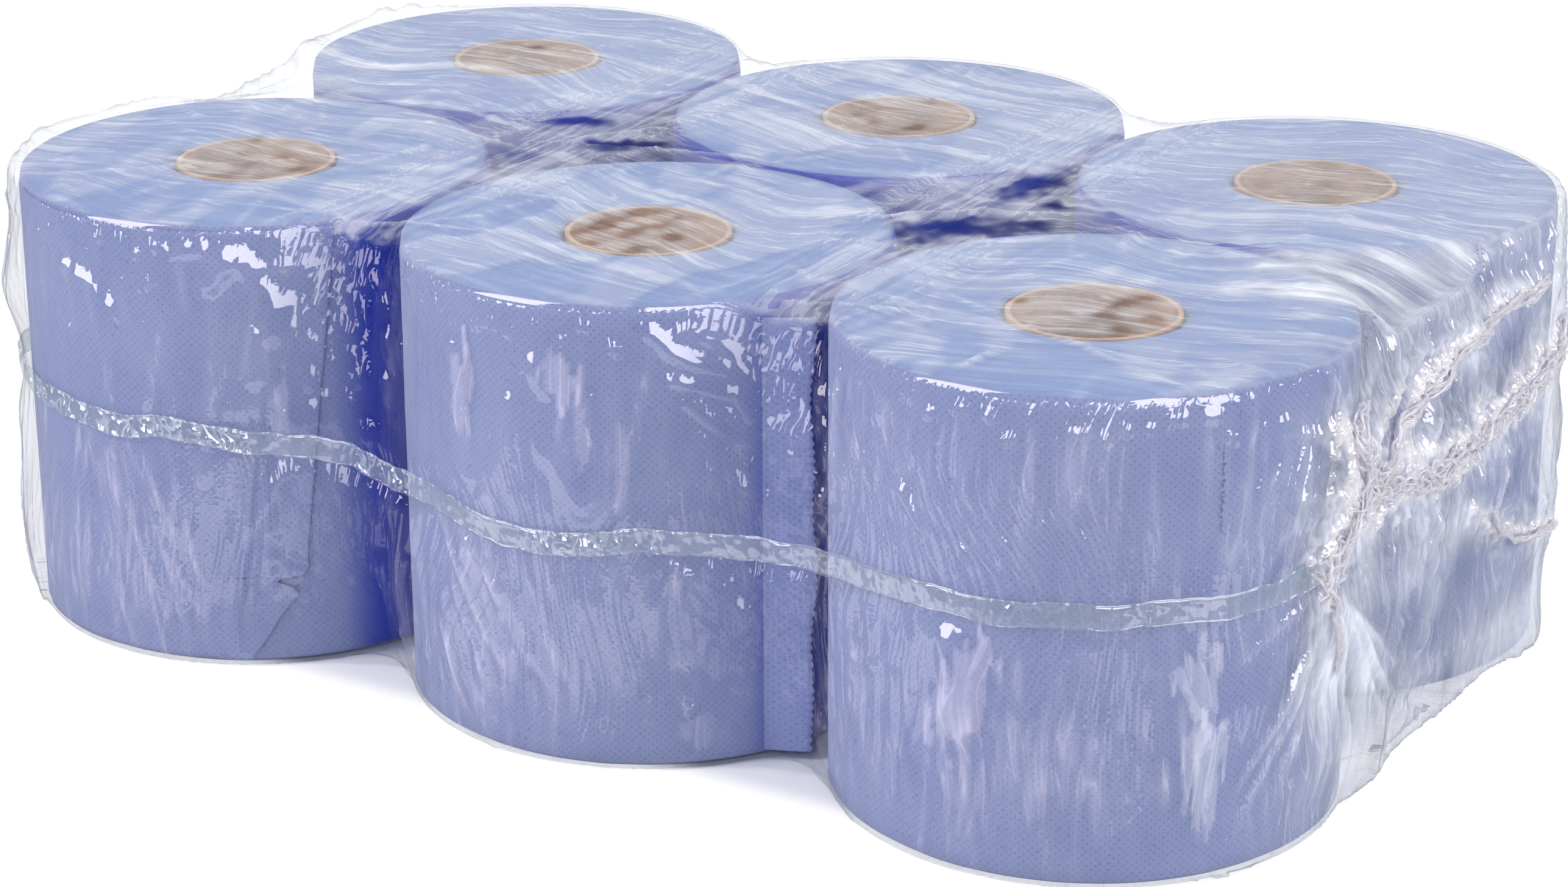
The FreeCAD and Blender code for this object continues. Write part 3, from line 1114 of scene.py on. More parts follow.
def wallPlace(points):
    # how far round the pack a point is, from the middle of the front, and its height
    x, y = points[:, 0], points[:, 1]
    beyond = np.abs(x) - pitch
    front = np.abs(x)
    frontCorner = pitch + rollRadius * (math.pi / 2 - np.arctan2(-(y + rowShift), beyond))
    backCorner = toBack + rollRadius * np.arctan2(y - rowShift, beyond)
    far = np.where(y < 0, front, toBack + corner - beyond)
    far = np.where((beyond > 0) & (y < -rowShift), frontCorner, far)
    far = np.where((beyond > 0) & (np.abs(y) <= rowShift), toMiddle + y, far)
    far = np.where((beyond > 0) & (y > rowShift), backCorner, far)
    return np.where(x < 0, -far, far), points[:, 2]


def alongLine(u, v, start, stop):
    # how far along a straight line each point is, as a share, and how far from it
    du, dv = stop[0] - start[0], stop[1] - start[1]
    share = np.clip(((u - start[0]) * du + (v - start[1]) * dv) / (du ** 2 + dv ** 2), 0, 1)
    return share, np.hypot(u - start[0] - share * du, v - start[1] - share * dv)


class Skin:
    # one side of the film as a flat sheet: where its points are, how far out each is pressed, and how misty
    def __init__(self, u, v, weight, seed=0):
        self.u, self.v, self.weight = u, v, weight
        self.chance = np.random.default_rng(seed)
        self.some = self.chance.uniform
        self.order = np.argsort(u)
        self.sorted = u[self.order]
        self.heights = np.zeros(len(u))
        self.mist = np.zeros(len(u))
        self.calm = np.zeros(len(u))

    def leaning(self, spread, middle=0):
        return math.radians(middle + self.chance.normal(0, spread))

    def near(self, place, up, reach, lean):
        start, stop = np.searchsorted(self.sorted, (place - reach, place + reach))
        chosen = self.order[start:stop]
        du = self.u[chosen] - place
        dv = self.v[chosen] - up
        c, s = math.cos(lean), math.sin(lean)
        return chosen, du * s + dv * c, du * c - dv * s

    def ridge(self, place, up, length, wide, high, lean, mist):
        chosen, along, aside = self.near(place, up, length / 2 + 3 * wide, lean)
        close = (np.abs(along) < length / 2) & (np.abs(aside) < 3 * wide)
        chosen, along, aside = chosen[close], along[close], aside[close]
        shape = (1 - (along / (length / 2)) ** 2) * np.exp(-(np.abs(aside) / wide) ** 1.5) * self.weight[chosen]
        self.heights[chosen] += high * shape
        self.mist[chosen] += mist * shape

    def around(self, line, wide):
        middle = np.mean(line, axis=0)
        reach = np.abs(np.array(line) - middle).max() + 4 * wide
        chosen = self.near(middle[0], middle[1], reach, 0)[0]
        nearest = np.full(len(chosen), 1.0)
        for start, stop in zip(line, line[1:]):
            nearest = np.minimum(nearest, alongLine(self.u[chosen], self.v[chosen], start, stop)[1])
        shape = np.zeros(len(self.u))
        shape[chosen] = np.exp(-(nearest / wide) ** 2) * self.weight[chosen]
        return shape

    def bend(self, line, wide, high, mist):
        shape = self.around(line, wide)
        self.heights += high * shape
        self.mist += mist * shape

    def patch(self, place, up, wide, high, lean, mist):
        chosen, along, aside = self.near(place, up, 1.7 * max(wide, high), math.radians(lean))
        drawn = np.stack([self.u[chosen] * 7, self.v[chosen], np.zeros(len(chosen))], axis=1)
        away = np.hypot(aside / wide, along / high)
        away += 0.20 * rumple(drawn, 0.025, 5) + 0.10 * rumple(drawn, 0.009, 6)
        self.mist[chosen] += mist * (1 - smoothStep(away, 0.78, 1.0)) * self.weight[chosen]

    def bubble(self, place, up, length, wide, edge, high, lean, mist):
        chosen, along, aside = self.near(place, up, length + 3 * edge, lean)
        away = np.hypot(along / length, aside / wide)
        shape = np.exp(-(((away - 1) * wide) / edge) ** 2) * self.weight[chosen]
        self.heights[chosen] += high * shape
        self.mist[chosen] += mist * shape


def roundRoll(column, degrees):
    # how far round the pack a bearing on a front roll is
    angle = math.radians(degrees)
    if column * angle > 0:
        return column * (pitch + rollRadius * abs(angle))
    return column * pitch + rollRadius * math.sin(angle)


def pressAllRound(skin):
    chance, some, leaning = skin.chance, skin.some, skin.leaning
    half = toBack + pitch + corner
    # the gaps between rolls, at the front and at the ends
    gaps, endGaps = [-pitch / 2, pitch / 2], [-0.40, 0.40]
    for kind in ("small", "big"):
        facts = folds[kind]
        for _ in range(facts["count"]):
            place = some(-half, half)
            up = some(0.012, rollTop - 0.012)
            if chance.random() < 0.55:
                place = chance.choice(gaps + endGaps) + chance.normal(0, 0.024)
            size = some(*facts["long"]), some(*facts["wide"]), some(*facts["high"])
            skin.ridge(place, up, *size, leaning(facts["lean"]), folds["mist"] * some(0.3, 1.4))
    # a row of small tilted facets under the top rims, most with a thin tail running down
    place = -half
    while place < half:
        place += folds["rimStep"] * some(0.5, 1.6)
        up = rollTop - some(0.007, 0.016)
        side = chance.choice([-1, 1])
        size = some(0.005, 0.010), some(0.0014, 0.0020), some(0.0010, 0.0018)
        skin.ridge(place, up, *size, math.radians(side * some(35, 88)), 0.03)
        if chance.random() < 0.6:
            tail = some(0.012, 0.050)
            skin.ridge(place, up - tail / 2, tail, 0.0013, 0.0005, math.radians(side * 3), some(0.03, 0.10))
    for step, height, spread, length, middle in combs:
        place = -half
        while place < half:
            place += step * some(0.4, 1.7)
            dense = 0.5 + 0.5 * math.sin(place * 31 + height * 90)
            size = length * some(0.5, 1.5), some(0.0011, 0.0019), some(0.0004, 0.0011)
            up = height + chance.normal(0, spread)
            skin.ridge(place, up, *size, leaning(5, middle), some(0.02, 0.12) * (0.3 + dense))
    # bubbles of film that lie between two rolls
    for _ in range(folds["bubbles"]):
        place = chance.choice(gaps + gaps + endGaps) + chance.normal(0, 0.015)
        length = some(0.003, 0.010)
        up = some(0.02, rollTop - 0.01)
        wide, high = length * some(0.25, 0.5), some(0.0008, 0.0016)
        skin.bubble(place, up, length, wide, 0.0011, high, leaning(16, -8), 0.06)


def pressEnds(skin):
    some = skin.some
    for side, spots in knots.items():
        for y, z in spots:
            for _ in range(folds["fan"]):
                angle = some(0, 2 * math.pi)
                length = some(0.010, 0.045)
                away = 0.004 + length / 2
                place = side * (toMiddle + y) + away * math.sin(angle)
                size = length, some(0.0009, 0.0018), some(0.0004, 0.0012)
                skin.ridge(place, z + away * math.cos(angle), *size, angle, some(0.04, 0.16))
    # long ones that run down and across the right end from the lowest of them
    for _ in range(70):
        angle = math.radians(some(125, 215))
        length = some(0.03, 0.085)
        away = some(0.0, 0.02) + length / 2
        place = toMiddle - 0.097 + away * math.sin(angle)
        size = length, some(0.0010, 0.0020), some(0.0005, 0.0014)
        skin.ridge(place, 0.092 + away * math.cos(angle), *size, angle, some(0.05, 0.22))
    # and taut ones from the front roll's rim to the back roll's
    for _ in range(16):
        start, rise = some(-0.085, 0.0), some(-4, 4)
        length = some(0.07, 0.13)
        up, wide, high = some(0.152, 0.169), some(0.0012, 0.0022), some(0.0008, 0.0018)
        place = toMiddle + start + length / 2
        skin.ridge(place, up, length, wide, high, math.radians(90 + rise), some(0.03, 0.12))


def pressFronts(skin):
    some = skin.some
    for column, count, degrees, heights, lengths, wides, highs, lean, mists in streaks:
        for _ in range(count):
            size = some(*lengths), some(*wides), some(*highs)
            place = roundRoll(column, some(*degrees))
            up = some(*heights) if heights else rollTop - 0.008 - size[0] / 2
            skin.ridge(place, up, *size, skin.leaning(*lean), some(*mists))
    for column, degrees, *facts in patches:
        skin.patch(roundRoll(column, degrees), *facts)
    # the big smooth folds, with little else pressed into them
    smooth = Skin(skin.u, skin.v, skin.weight)
    for column, stops, wide, high in bigFolds:
        line = [(roundRoll(column, degrees), up) for degrees, up in stops]
        smooth.bend(line, wide, high, 0)
        skin.calm = np.maximum(skin.calm, smooth.around(line, wide * 1.5))
    skin.heights = skin.heights * (1 - 0.9 * skin.calm) + smooth.heights


def pressLid(skin):
    chance, some, leaning = skin.chance, skin.some, skin.leaning
    # long straight creases over the two valleys between the columns
    for _ in range(110):
        place = chance.choice([-1, 1]) * pitch / 2 + chance.normal(0, 0.020)
        lean = leaning(6, 3)
        size = some(0.05, 0.21), some(0.0011, 0.0020), some(0.0002, 0.0006)
        skin.ridge(place, some(-0.13, 0.13), *size, lean, some(0.02, 0.14))
    # finer ones along the pack near its ends
    for _ in range(90):
        place = chance.choice([-1, 1]) * some(0.19, 0.262)
        up, length = some(-0.15, 0.15), some(0.02, 0.07)
        skin.ridge(place, up, length, 0.0012, some(0.0003, 0.0006), leaning(12, 90), some(0.04, 0.20))
    # short ones round each core and each roll's rim
    for column in (-1, 0, 1):
        for row in (-1, 1):
            for ring, count in ((0.040, 10), (0.072, 30)):
                for _ in range(count):
                    angle = some(0, 2 * math.pi)
                    away = ring + chance.normal(0, 0.006)
                    place = column * pitch + away * math.cos(angle)
                    up = row * rowShift + away * math.sin(angle)
                    lean = math.pi / 2 - angle + leaning(14)
                    length, high = some(0.014, 0.040), some(0.0003, 0.0008)
                    skin.ridge(place, up, length, 0.0013, high, lean, some(0.03, 0.18))
    # broad soft bands of milkier film
    for _ in range(90):
        size = some(0.04, 0.12), some(0.003, 0.008), some(0.0001, 0.0004)
        skin.ridge(some(-0.26, 0.26), some(-0.17, 0.17), *size, leaning(45, 70), some(0.04, 0.20))
    # taut folds from one roll's rim to the next, over the hollows in the middle
    for line in tautFolds:
        skin.bend(line, 0.0012, 0.0012, 0.40)
    for _ in range(170):
        size = some(0.03, 0.10), some(0.0013, 0.0024), some(0.0002, 0.0006)
        skin.ridge(some(-0.25, 0.25), some(-0.16, 0.16), *size, math.radians(some(-90, 90)), some(0.03, 0.16))
    # a few long straight creases
    for _ in range(16):
        place, up, length = some(-0.22, 0.22), some(-0.15, 0.15), some(0.08, 0.18)
        skin.ridge(place, up, length, 0.0011, 0.0008, leaning(28, 84), some(0.20, 0.36))


def pressMelted(points):
    # the melted masses: how thick and how milky the film is at each point of the two ends
    thick = np.zeros(len(points))
    milky = np.zeros(len(points))
    ends = np.flatnonzero((np.abs(points[:, 0]) > 0.215) & (points[:, 2] > 0.02) & (points[:, 2] < 0.168))
    ragged = 0.30 * rumple(points[ends], 0.0075, 71) + 0.22 * rumple(points[ends], 0.019, 72)
    lumpy = np.abs(rumple(points[ends], 0.0065, 73))
    side = np.sign(points[ends, 0])
    for end, high, milk, stops in melted:
        nearest = np.full(len(ends), 9.0)
        for start, stop in zip(stops, stops[1:]):
            share, away = alongLine(points[ends, 1], points[ends, 2], start, stop)
            nearest = np.minimum(nearest, away / (start[2] + share * (stop[2] - start[2])))
        nearest = np.where(side == end, nearest + ragged, 9.0)
        full = 1 - smoothStep(nearest, 0.35, 1.15)
        thick[ends] = np.maximum(thick[ends], high * full * (0.40 + 0.5 * np.clip(lumpy, 0, 1.2)))
        halo = 0.20 * np.exp(-(np.maximum(nearest, 0) / 3.0) ** 2) * (0.5 + np.clip(lumpy, 0, 1))
        milky[ends] = np.maximum(milky[ends], milk * full * (0.9 + 0.3 * np.clip(lumpy, 0, 1)) + halo)
    return thick, milky


def flowOf(points, walls, onLid):
    # coordinates one streak wide and one streak long, for the film's finest lines
    x, y = points[:, 0], points[:, 1]
    swing = rumple(points, 0.075, 81)
    wall = np.stack([(walls.u + swing * 0.004) / 0.0040, walls.v / 0.040, np.zeros(len(points))], axis=1)
    across = y + 0.018 * np.sin(13 * x + 0.6) + swing * 0.0045
    top = np.stack([across / 0.0042, x / 0.060, np.full(len(points), 9.0)], axis=1)
    return np.where(onLid[:, None], top, wall)


def spotAt(across, along):
    # 1 inside a spot that reaches one unit from its middle, 0 outside it
    return np.exp(-np.hypot(across, along) ** 4)


def raisedEnds(points, upright, heights):
    # both ends stand off the rolls a little
    x, _, z = points.T
    above = z > 0.002
    level = np.clip(z / packTop, 0, 1)
    left = smoothStep(-x, 0.225, endFull) * upright * above
    left *= (1 - 0.25 * level) * (0.35 + 0.65 * smoothStep(np.abs(z - 0.096), 0.004, 0.030))
    heights += left * (0.0078 + 0.0030 * rumple(points, 0.07, film["seed"] + 4))
    right = smoothStep(x, endFrom, endFull) * upright * above
    bulge = 0.0016 + 0.0024 * np.sin(np.pi * level) + 0.0012 * rumple(points, 0.05, film["seed"] + 5)
    return heights + right * bulge


def mistAndSheenOver(points, upright, facingUp, pressed):
    # what the folds left, and broad soft clouds stretched along the creases
    x, y, z = points.T
    stretched = points * np.array([1.0, 0.45, 0.5])
    clouds = smoothStep(rumple(stretched, 0.045, 61) + 0.6 * rumple(stretched, 0.017, 62), -0.5, 1.2)
    # the clouds are far milkier on the lid than on the walls, partly painted sheen
    mist = pressed + clouds * (hazeAndSheen["cloudsOnWalls"] * upright + hazeAndSheen["cloudsOnTop"] * facingUp)
    # low on the right end at its back, and under the lowest knot
    lowRight = smoothStep(x, 0.215, 0.265) * smoothStep(y, -0.02, 0.06) * (1 - smoothStep(z, 0.022, 0.060))
    underKnot = np.exp(-((y + 0.075) / 0.035) ** 2) * (1 - smoothStep(z, 0.085, 0.105))
    mist += lowRight * hazeAndSheen["lowAtBack"] + underKnot * smoothStep(x, 0.20, 0.24) * hazeAndSheen["underKnot"]
    # all over the right end, but for its clear spots
    bare = np.ones(len(points))
    for spotY, spotZ, along, high in clearOnEnd:
        bare *= 1 - 0.9 * spotAt((y - spotY) / along, (z - spotZ) / high)
    onEnd = smoothStep(x, endFrom, endFull) * (1 - facingUp) * (z > 0.002) * smoothStep(y, -0.13, -0.08)
    mist += onEnd * bare * (hazeAndSheen["end"] - 0.07 * smoothStep(z, 0.11, 0.15) + 0.08 * rumple(points, 0.03, 66))
    # on top: over the hollows in the middle, towards the back and the sides, and where it spans the open cores; the
    # lid's extra milk, lighter towards the back and the sides, is partly painted sheen
    hollow = spotAt((np.abs(x) - pitch / 2) / 0.038, y / 0.030)
    mist += hollow * facingUp * (hazeAndSheen["hollows"] + 0.08 * rumple(points, 0.03, 64))
    sideways = hazeAndSheen["topToSides"] * smoothStep(np.abs(x), 0.08, 0.15) * smoothStep(y, -0.18, -0.05)
    mist += facingUp * (hazeAndSheen["paintedSheenToBack"] * smoothStep(y, -0.02, 0.08) + sideways - 0.01)
    fromCore = np.hypot(x - pitch * np.round(x / pitch), np.abs(y) - rowShift)
    overCore = facingUp * (1 - smoothStep(fromCore, 0.024, 0.036))
    mist += overCore * (hazeAndSheen["overCores"] + 0.12 * rumple(points, 0.014, 65))
    mist = np.maximum(mist, 0)
    mist = np.where(facingUp > 0.5, hazeAndSheen["topMost"] * np.tanh(mist / hazeAndSheen["topMost"]), mist)
    # the film bridges the hollow at each end of the pack
    bridge = spotAt((np.abs(x) - 0.245) / 0.048, y / 0.055) * facingUp
    return mist + bridge * (hazeAndSheen["endHollows"] + 0.09 * rumple(points * np.array([0.5, 1, 1]), 0.016, 69))


def veilOver(points, upright, facingUp):
    # 1 where the film is as milky as it comes, less where it is clear
    x, y = points[:, 0], points[:, 1]
    gap = np.exp(-((np.abs(x) - pitch / 2) / 0.027) ** 4) * upright * (np.abs(y) > 0.12)
    spotted = np.zeros(len(points))
    frayed = 0.16 * rumple(points, 0.020, 67) + 0.10 * rumple(points, 0.008, 68)
    for spotX, spotY, along, aside, degrees in clearSpots:
        c, s = math.cos(math.radians(degrees)), math.sin(math.radians(degrees))
        dx, dy = x - spotX, y - spotY
        reach = np.hypot((dx * c + dy * s) / along, (dy * c - dx * s) / aside) + frayed
        spotted = np.maximum(spotted, np.exp(-np.maximum(reach, 0) ** 4))
    return 1 - np.maximum(hazeAndSheen["gapsCleared"] * gap, hazeAndSheen["spotsCleared"] * spotted * facingUp)


def pressFolds(mesh):
    # moves the film out where it is folded, and tells its finish how the folds run and how milky they are
    points = pointsOf(mesh)
    normals = normalsOf(mesh)
    x, y, z = points.T
    upright = 1 - smoothStep(np.abs(normals[:, 2]), 0.55, 0.85)
    facingUp = smoothStep(normals[:, 2], 0.4, 0.8)
    onLid = facingUp > 0.5
    walls = Skin(*wallPlace(points), upright, folds["seed"])
    pressAllRound(walls)
    pressEnds(walls)
    pressFronts(walls)
    lid = Skin(x, y, facingUp, folds["seed"] + 1)
    pressLid(lid)
    thick, milky = pressMelted(points)
    nearSeam = smoothStep(np.abs(z - seamHeightAt(points)), 0.003, 0.012)
    heights = walls.heights * (0.25 + 0.75 * nearSeam) + lid.heights
    heights = folds["most"] * np.tanh(heights / folds["most"])
    heights = np.maximum(raisedEnds(points, upright, heights), 0) + thick * upright
    mist = mistAndSheenOver(points, upright, facingUp, walls.mist + lid.mist + milky)
    veil = veilOver(points, upright, facingUp)
    # no bump from the fine lines in the row of faces where the streaks change from walls to lid
    ends = edgesOf(mesh)
    atRim = np.zeros(len(points))
    atRim[ends[onLid[ends[:, 0]] != onLid[ends[:, 1]]].ravel()] = 1
    lump = np.clip(thick / 0.002, 0, 1) - np.maximum(walls.calm, atRim)
    facts = {
        "flow": flowOf(points, walls, onLid),
        "hazeAndSheen": np.stack([np.clip(mist * veil, 0, hazeAndSheen["most"]), veil, lump], axis=1),
    }
    putPoints(mesh, points + normals * heights[:, None])
    return mesh, facts


# the film's own tint, and that of its milk on the walls, on the ends, on top and where it melted
filmTints = {
    "clear": (0.965, 0.97, 0.975, 1),
    "walls": (0.78, 0.75, 0.97, 1),
    "end": (0.80, 0.83, 0.93, 1),
    "top": (0.86, 0.89, 0.93, 1),
    "melted": (0.80, 0.79, 0.83, 1),
}


def filmFinish():
    finish = Finish("clearFilm")
    flow = finish.add("ShaderNodeAttribute", {"attribute_name": "flow"}, out="Vector")
    values = finish.add("ShaderNodeAttribute", {"attribute_name": "hazeAndSheen"}, out="Vector")
    mist, veil, lump = finish.axes(values)
    where = finish.here()
    x = finish.axes(where)[0]
    normal = finish.add("ShaderNodeNewGeometry", out="Normal")
    facingUp = finish.ramp(finish.axes(normal)[2], 0.5, 0.85)
    nearEnd = finish.ramp(x, endFrom, endFull)
    valley = (1 - finish.ramp(abs(abs(x) - pitch / 2), 0.010, 0.040)) * facingUp
    lengthwise = finish.noise(flow, 1.0, 1, 0.4)
    crosswise = finish.noise(finish.place((1, 0.06, 1), (0, 0, 0.05)), 330, 1, 0.4)
    drawn = lengthwise + (crosswise - lengthwise) * valley
    line = 1 - finish.ramp(abs(drawn - 0.5), 0.0, 0.040)
    broad = finish.ramp(finish.noise(flow, 0.42, 3, 0.62), 0.44, 0.72)
    fine = finish.noise(where, 300, 1)
    there = finish.ramp(mist, 0.02, 0.12) + facingUp * 0.5
    # the lines and bands that the shrinking drew in the film
    banded = broad + (finish.ramp(crosswise, 0.47, 0.57) - broad) * valley
    end = nearEnd * (1 - facingUp)
    milky = mist * (0.55 + end * 0.25 + broad * (0.6 - end * 0.4) + fine * 0.3)
    # the lid gets extra milk in bands, partly painted sheen
    milky = milky + line * there * veil * (0.15 - facingUp * 0.06) + facingUp * veil * (banded * 0.10 + 0.06)
    crumple = abs(fine - 0.5) * (lump * 1.6 + 0.20)
    height = (crumple + abs(drawn - 0.5) * (1.6 - facingUp * 0.6)) * finish.ramp(lump, -0.8, 0.0)
    bumped = finish.bump(height, 1.0, 0.0016)
    mirror = finish.facing() ** 4 * (0.5 - facingUp * 0.38) + 0.075 - facingUp * 0.053
    pale = finish.mixColour(nearEnd, filmTints["walls"], filmTints["end"])
    pale = finish.mixColour(facingUp, pale, filmTints["top"])
    pale = finish.mixColour(finish.ramp(lump, 0.0, 0.5), pale, filmTints["melted"])
    milk = finish.add("ShaderNodeBsdfDiffuse", None, {"Color": pale, "Normal": bumped})
    skin = finish.blend(milky + 0.004, finish.clear(filmTints["clear"]), milk)
    gloss = finish.gloss(facingUp * 0.20 + 0.035, bumped)
    return finish.done(finish.blend(mirror * (veil * 0.55 + 0.45), skin, gloss))


def weldFinish():
    finish = Finish("weldedFilm")
    patch = finish.ramp(finish.noise(finish.here(), 17, 1), 0.46, 0.62)
    crumpled = abs(finish.noise(finish.place((1, 1, 0.7)), 190, 1) - 0.5)
    bumped = finish.bump(crumpled * (patch * 2.4 + 0.35), 1.0, 0.0022)
    milk = finish.add("ShaderNodeBsdfDiffuse", None, {"Color": (0.78, 0.89, 1.0, 1)})
    fold = 1 - finish.ramp(crumpled, 0.0, 0.05)
    skin = finish.blend(fold * (patch * 0.18 + 0.04) + 0.07, finish.clear((0.96, 0.97, 0.975, 1)), milk)
    return finish.done(finish.blend(finish.facing() ** 4 * 0.4 + 0.08, skin, finish.gloss(0.05, bumped)))


def webOf(name, points, facts, faces, material):
    # a web keeps only the points that its faces use
    used = np.unique(faces)
    lookup = np.zeros(len(points), int)
    lookup[used] = np.arange(len(used))
    mesh = meshFrom(name, points[used], lookup[faces])
    for key, values in facts.items():
        mesh.attributes.new(key, "FLOAT_VECTOR", "POINT").data.foreach_set("vector", values[used].ravel())
    mesh.materials.append(material)
    return shownFor(newPiece(name, mesh), "shrink_film")


def addFilm():
    mesh = crease(subdivided(drawTight(hullMesh())))
    mesh, facts = pressFolds(subdivided(mesh))
    points = clearOfRolls(pointsOf(mesh))
    faces = quadsOf(mesh)
    middles = points[faces].mean(axis=1)
    height = middles[:, 2]
    crown, foot = rollTop - 0.004, 0.0006
    above = height > seamHeightAt(middles)
    parts = {
        "filmCrown": height > crown,
        "filmUpper": above & (height <= crown),
        "filmLower": ~above & (height > foot),
        "filmBase": height <= foot,
    }
    material = filmFinish()
    return [webOf(name, points, facts, faces[mask], material) for name, mask in parts.items()]


filmWebs = addFilm()
print("stage: film,", sum(len(web.data.polygons) for web in filmWebs), "faces")


# weld seam, a narrow two-layer fin along the front, round the left end and as far as the right end
seam = {
    "wide": 0.0088,
    "thick": 0.00035,
    "bead": 0.00035,
    "off": 0.0010,
    "samples": 150,
    "step": 0.0013,
    "crumple": 0.0010,
}


def skinTree():
    points = np.vstack([pointsOf(web.data) for web in filmWebs])
    faces = []
    start = 0
    for web in filmWebs:
        faces += (quadsOf(web.data) + start).tolist()
        start += len(web.data.vertices)
    return BVHTree.FromPolygons(points.tolist(), faces)


filmSurface = skinTree()


def onSkin(place, z, off):
    # the point on the outside of the film this far round the pack and at this height
    side = 1 if place > 0 else -1
    far = abs(place)
    if far < pitch:
        base, way = Vector((place, -rowShift, z)), Vector((0, -1, 0))
    elif far < toEnd:
        turn = (far - pitch) / rollRadius
        base, way = Vector((side * pitch, -rowShift, z)), Vector((side * math.sin(turn), -math.cos(turn), 0))
    elif far < toBack:
        base, way = Vector((side * pitch, far - toMiddle, z)), Vector((side, 0, 0))
    else:
        turn = (far - toBack) / rollRadius
        base, way = Vector((side * pitch, rowShift, z)), Vector((side * math.cos(turn), math.sin(turn), 0))
    hit = filmSurface.ray_cast(base + way * 0.3, -way)[0]
    return (hit if hit else base + way * rollRadius) + way * off


def pathMesh(name, points):
    mesh = bpy.data.meshes.new(name)
    mesh.from_pydata([tuple(point) for point in points], [(i, i + 1) for i in range(len(points) - 1)], [])
    return mesh


def weldBandTree():
    inputs = {
        "Wide": seam["wide"],
        "Thick": seam["thick"],
        "Bead": seam["bead"],
        "Crumple": seam["crumple"],
        "Seed": 2.0,
    }
    grow = Grower("weldBand", inputs)
    values = {"Curve": grow.pathOf(seam["step"])}
    level = grow.add("GeometryNodeSetCurveNormal", {"mode": "Z_UP"}, values)
    flat = grow.add("GeometryNodeCurvePrimitiveQuadrilateral", None, {0: grow.given("Thick"), 1: grow.given("Wide")})
    flat = grow.add("GeometryNodeResampleCurve", None, {"Curve": flat, "Count": 22})
    fin = grow.swept(level, flat, {"Fill Caps": True})
    spot = grow.seeded()
    much = grow.scaled(grow.wander(spot, 75.0, 1.0), grow.given("Crumple") * 2.4)
    little = grow.scaled(grow.wander(spot, 290.0, 1.0), grow.given("Crumple") * 0.9)
    crumple = grow.vector("ADD", much, little)
    # the sharp upper edge, where the weld ran
    upper = grow.moved(level, (0, 0, seam["wide"] / 2))
    bead = grow.swept(upper, grow.circle(8, grow.given("Bead")), {"Fill Caps": True})
    parts = [grow.moved(fin, crumple), grow.moved(bead, crumple)]
    return grow.done(grow.add("GeometryNodeJoinGeometry", None, {0: parts}))


def addSeam():
    places = np.linspace(-toBack, toEnd - 0.004, seam["samples"])
    flatX = np.clip(places, -0.275, 0.275)
    chance = np.random.default_rng(8)
    heights = seamHeightAt(flatX[:, None])
    heights = heights + np.interp(places, np.linspace(-0.7, 0.4, 60), chance.normal(0, 0.0009, 60))
    points = [onSkin(place, height, seam["off"]) for place, height in zip(places, heights)]
    piece = grown("weldBand", weldBandTree(), {"Material": weldFinish()}, pathMesh("weldPath", points))
    return shownFor(piece, "shrink_film")


# gathers, where the film bunched and melted into thick strands at the two ends
strand = {
    "fibres": 16,
    "thick": 0.00045,
    "spread": 0.0052,
    "off": 0.0016,
    "step": 0.0016,
}
# the loose fibres in them: the end, how many, how widely they spread, the stops on it (along, up)
gathers = {
    "rightUpright": (1, 16, 0.0120, ((-0.101, 0.097), (-0.094, 0.110), (-0.083, 0.126), (-0.086, 0.150))),
    "rightUpper": (1, 11, 0.0048, (
        (-0.086, 0.118), (-0.050, 0.128), (-0.046, 0.137), (-0.022, 0.140), (0.017, 0.147), (0.084, 0.152),
    )),
    "rightLower": (1, 14, 0.0100, (
        (-0.082, 0.128), (-0.066, 0.120), (-0.028, 0.109), (0.028, 0.108), (0.061, 0.110), (0.104, 0.120),
        (0.112, 0.128),
    )),
    "rightLoop": (1, 7, 0.0028, ((0.045, 0.074), (0.054, 0.064), (0.075, 0.052), (0.100, 0.052))),
    "rightTail": (1, 7, 0.0034, ((-0.108, 0.104), (-0.101, 0.094), (-0.098, 0.078), (-0.094, 0.062))),
    "leftLower": (-1, 14, 0.0046, ((-0.100, 0.094), (-0.030, 0.104), (0.040, 0.101), (0.095, 0.092))),
    "leftUpper": (-1, 9, 0.0040, ((-0.034, 0.103), (-0.008, 0.086), (0.042, 0.100))),
    "leftTail": (-1, 7, 0.0034, ((-0.086, 0.096), (-0.094, 0.110), (-0.090, 0.126))),
}


def softLine(stops, steps):
    # a smooth line through a few stops
    places = np.linspace(0, len(stops) - 1, steps)
    sides = []
    for values in zip(*stops):
        line = np.interp(places, range(len(stops)), values)
        for _ in range(6):
            line[1:-1] = (line[:-2] + line[2:] + 2 * line[1:-1]) / 4
        sides.append(line)
    return zip(*sides)


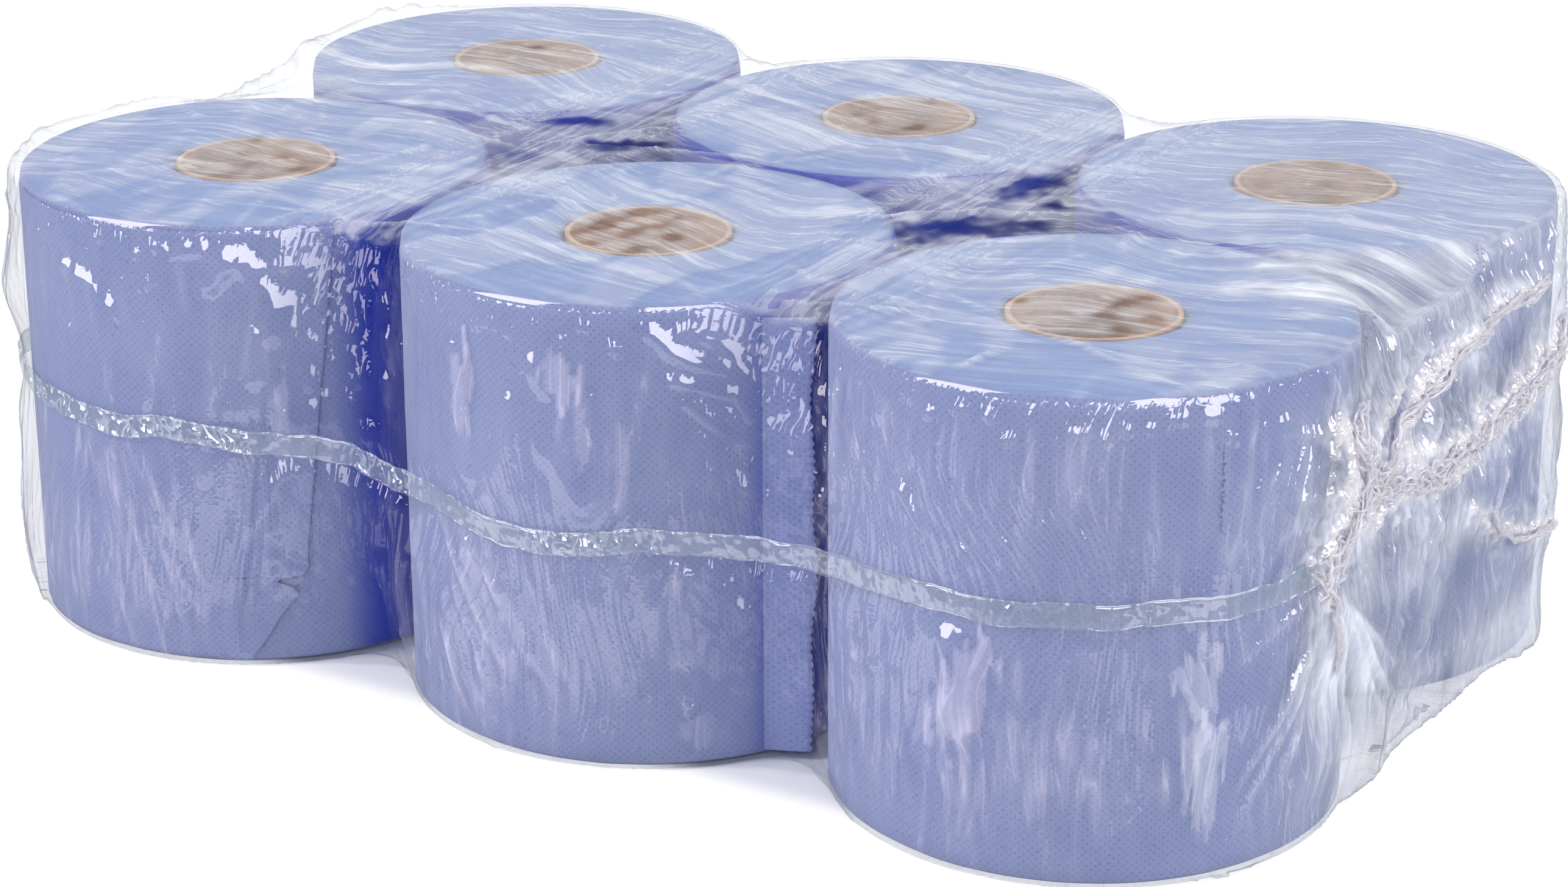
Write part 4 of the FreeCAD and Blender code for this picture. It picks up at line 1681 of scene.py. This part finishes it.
def meltedStrandTree():
    inputs = {
        "Fibres": strand["fibres"],
        "Thick": strand["thick"],
        "Spread": strand["spread"],
        "Seed": 0.0,
    }
    grow = Grower("meltedStrand", inputs)
    values = {"Geometry": grow.pathOf(strand["step"]), "Amount": grow.given("Fibres")}
    copies = grow.add("GeometryNodeDuplicateElements", {"domain": "SPLINE"}, values)
    number = Sum(grow, copies.socket.node.outputs["Duplicate Index"])
    values = {0: number * 0.37 + grow.given("Seed"), 1: number * 0.61, 2: number * 0.23}
    apart = grow.add("ShaderNodeCombineXYZ", None, values)
    shifted = grow.vector("ADD", grow.add("GeometryNodeInputPosition"), apart)
    # the strands lie flat on the end, so they wander less outward than along it
    wander = grow.vector("MULTIPLY", grow.wander(shifted, 42.0, 3.0, 0.62), (0.45, 1, 1))
    loose = grow.moved(copies, grow.scaled(wander, grow.given("Spread") * 3.4))
    values = {"Value": grow.noise(shifted, 210.0), "From Min": 0.3, "From Max": 0.7, "To Min": 0.25, "To Max": 1.9}
    lumps = grow.add("ShaderNodeMapRange", None, values)
    profile = grow.circle(7, grow.given("Thick"))
    return grow.done(grow.swept(loose, profile, {"Fill Caps": True, "Scale": lumps}))


def meltedFinish():
    finish = Finish("meltedFilm")
    where = finish.here()
    tint = (0.86, 0.85, 0.89, 1)
    front = finish.add("ShaderNodeBsdfDiffuse", None, {"Color": tint})
    behind = finish.add("ShaderNodeBsdfTranslucent", None, {"Color": tint})
    cloudy = finish.ramp(finish.noise(where, 120, 1), 0.35, 0.65) * 0.32 + 0.40
    body = finish.blend(cloudy, finish.clear((0.985, 0.99, 1, 1)), finish.blend(0.35, front, behind))
    gloss = finish.gloss(0.12, finish.bump(finish.noise(where, 420, 1), 0.7, 0.0006))
    return finish.done(finish.blend(finish.facing() ** 4 * 0.3 + 0.05, body, gloss))


def addGathers():
    tree = meltedStrandTree()
    melt = meltedFinish()
    for number, (name, (side, fibres, spread, stops)) in enumerate(gathers.items()):
        points = [onSkin(side * (toMiddle + y), z, strand["off"]) for y, z in softLine(stops, 40)]
        values = {"Fibres": fibres, "Spread": spread, "Seed": 1.9 * number, "Material": melt}
        piece = grown(name + "Strand", tree, values, pathMesh(name + "Path", points))
        shownFor(piece, "shrink_film")


addSeam()
addGathers()
print("stage: weld seam and gathers")

shownLow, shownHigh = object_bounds()
{"cad": [list(cadLow), list(cadHigh)], "shown": [list(shownLow), list(shownHigh)]}
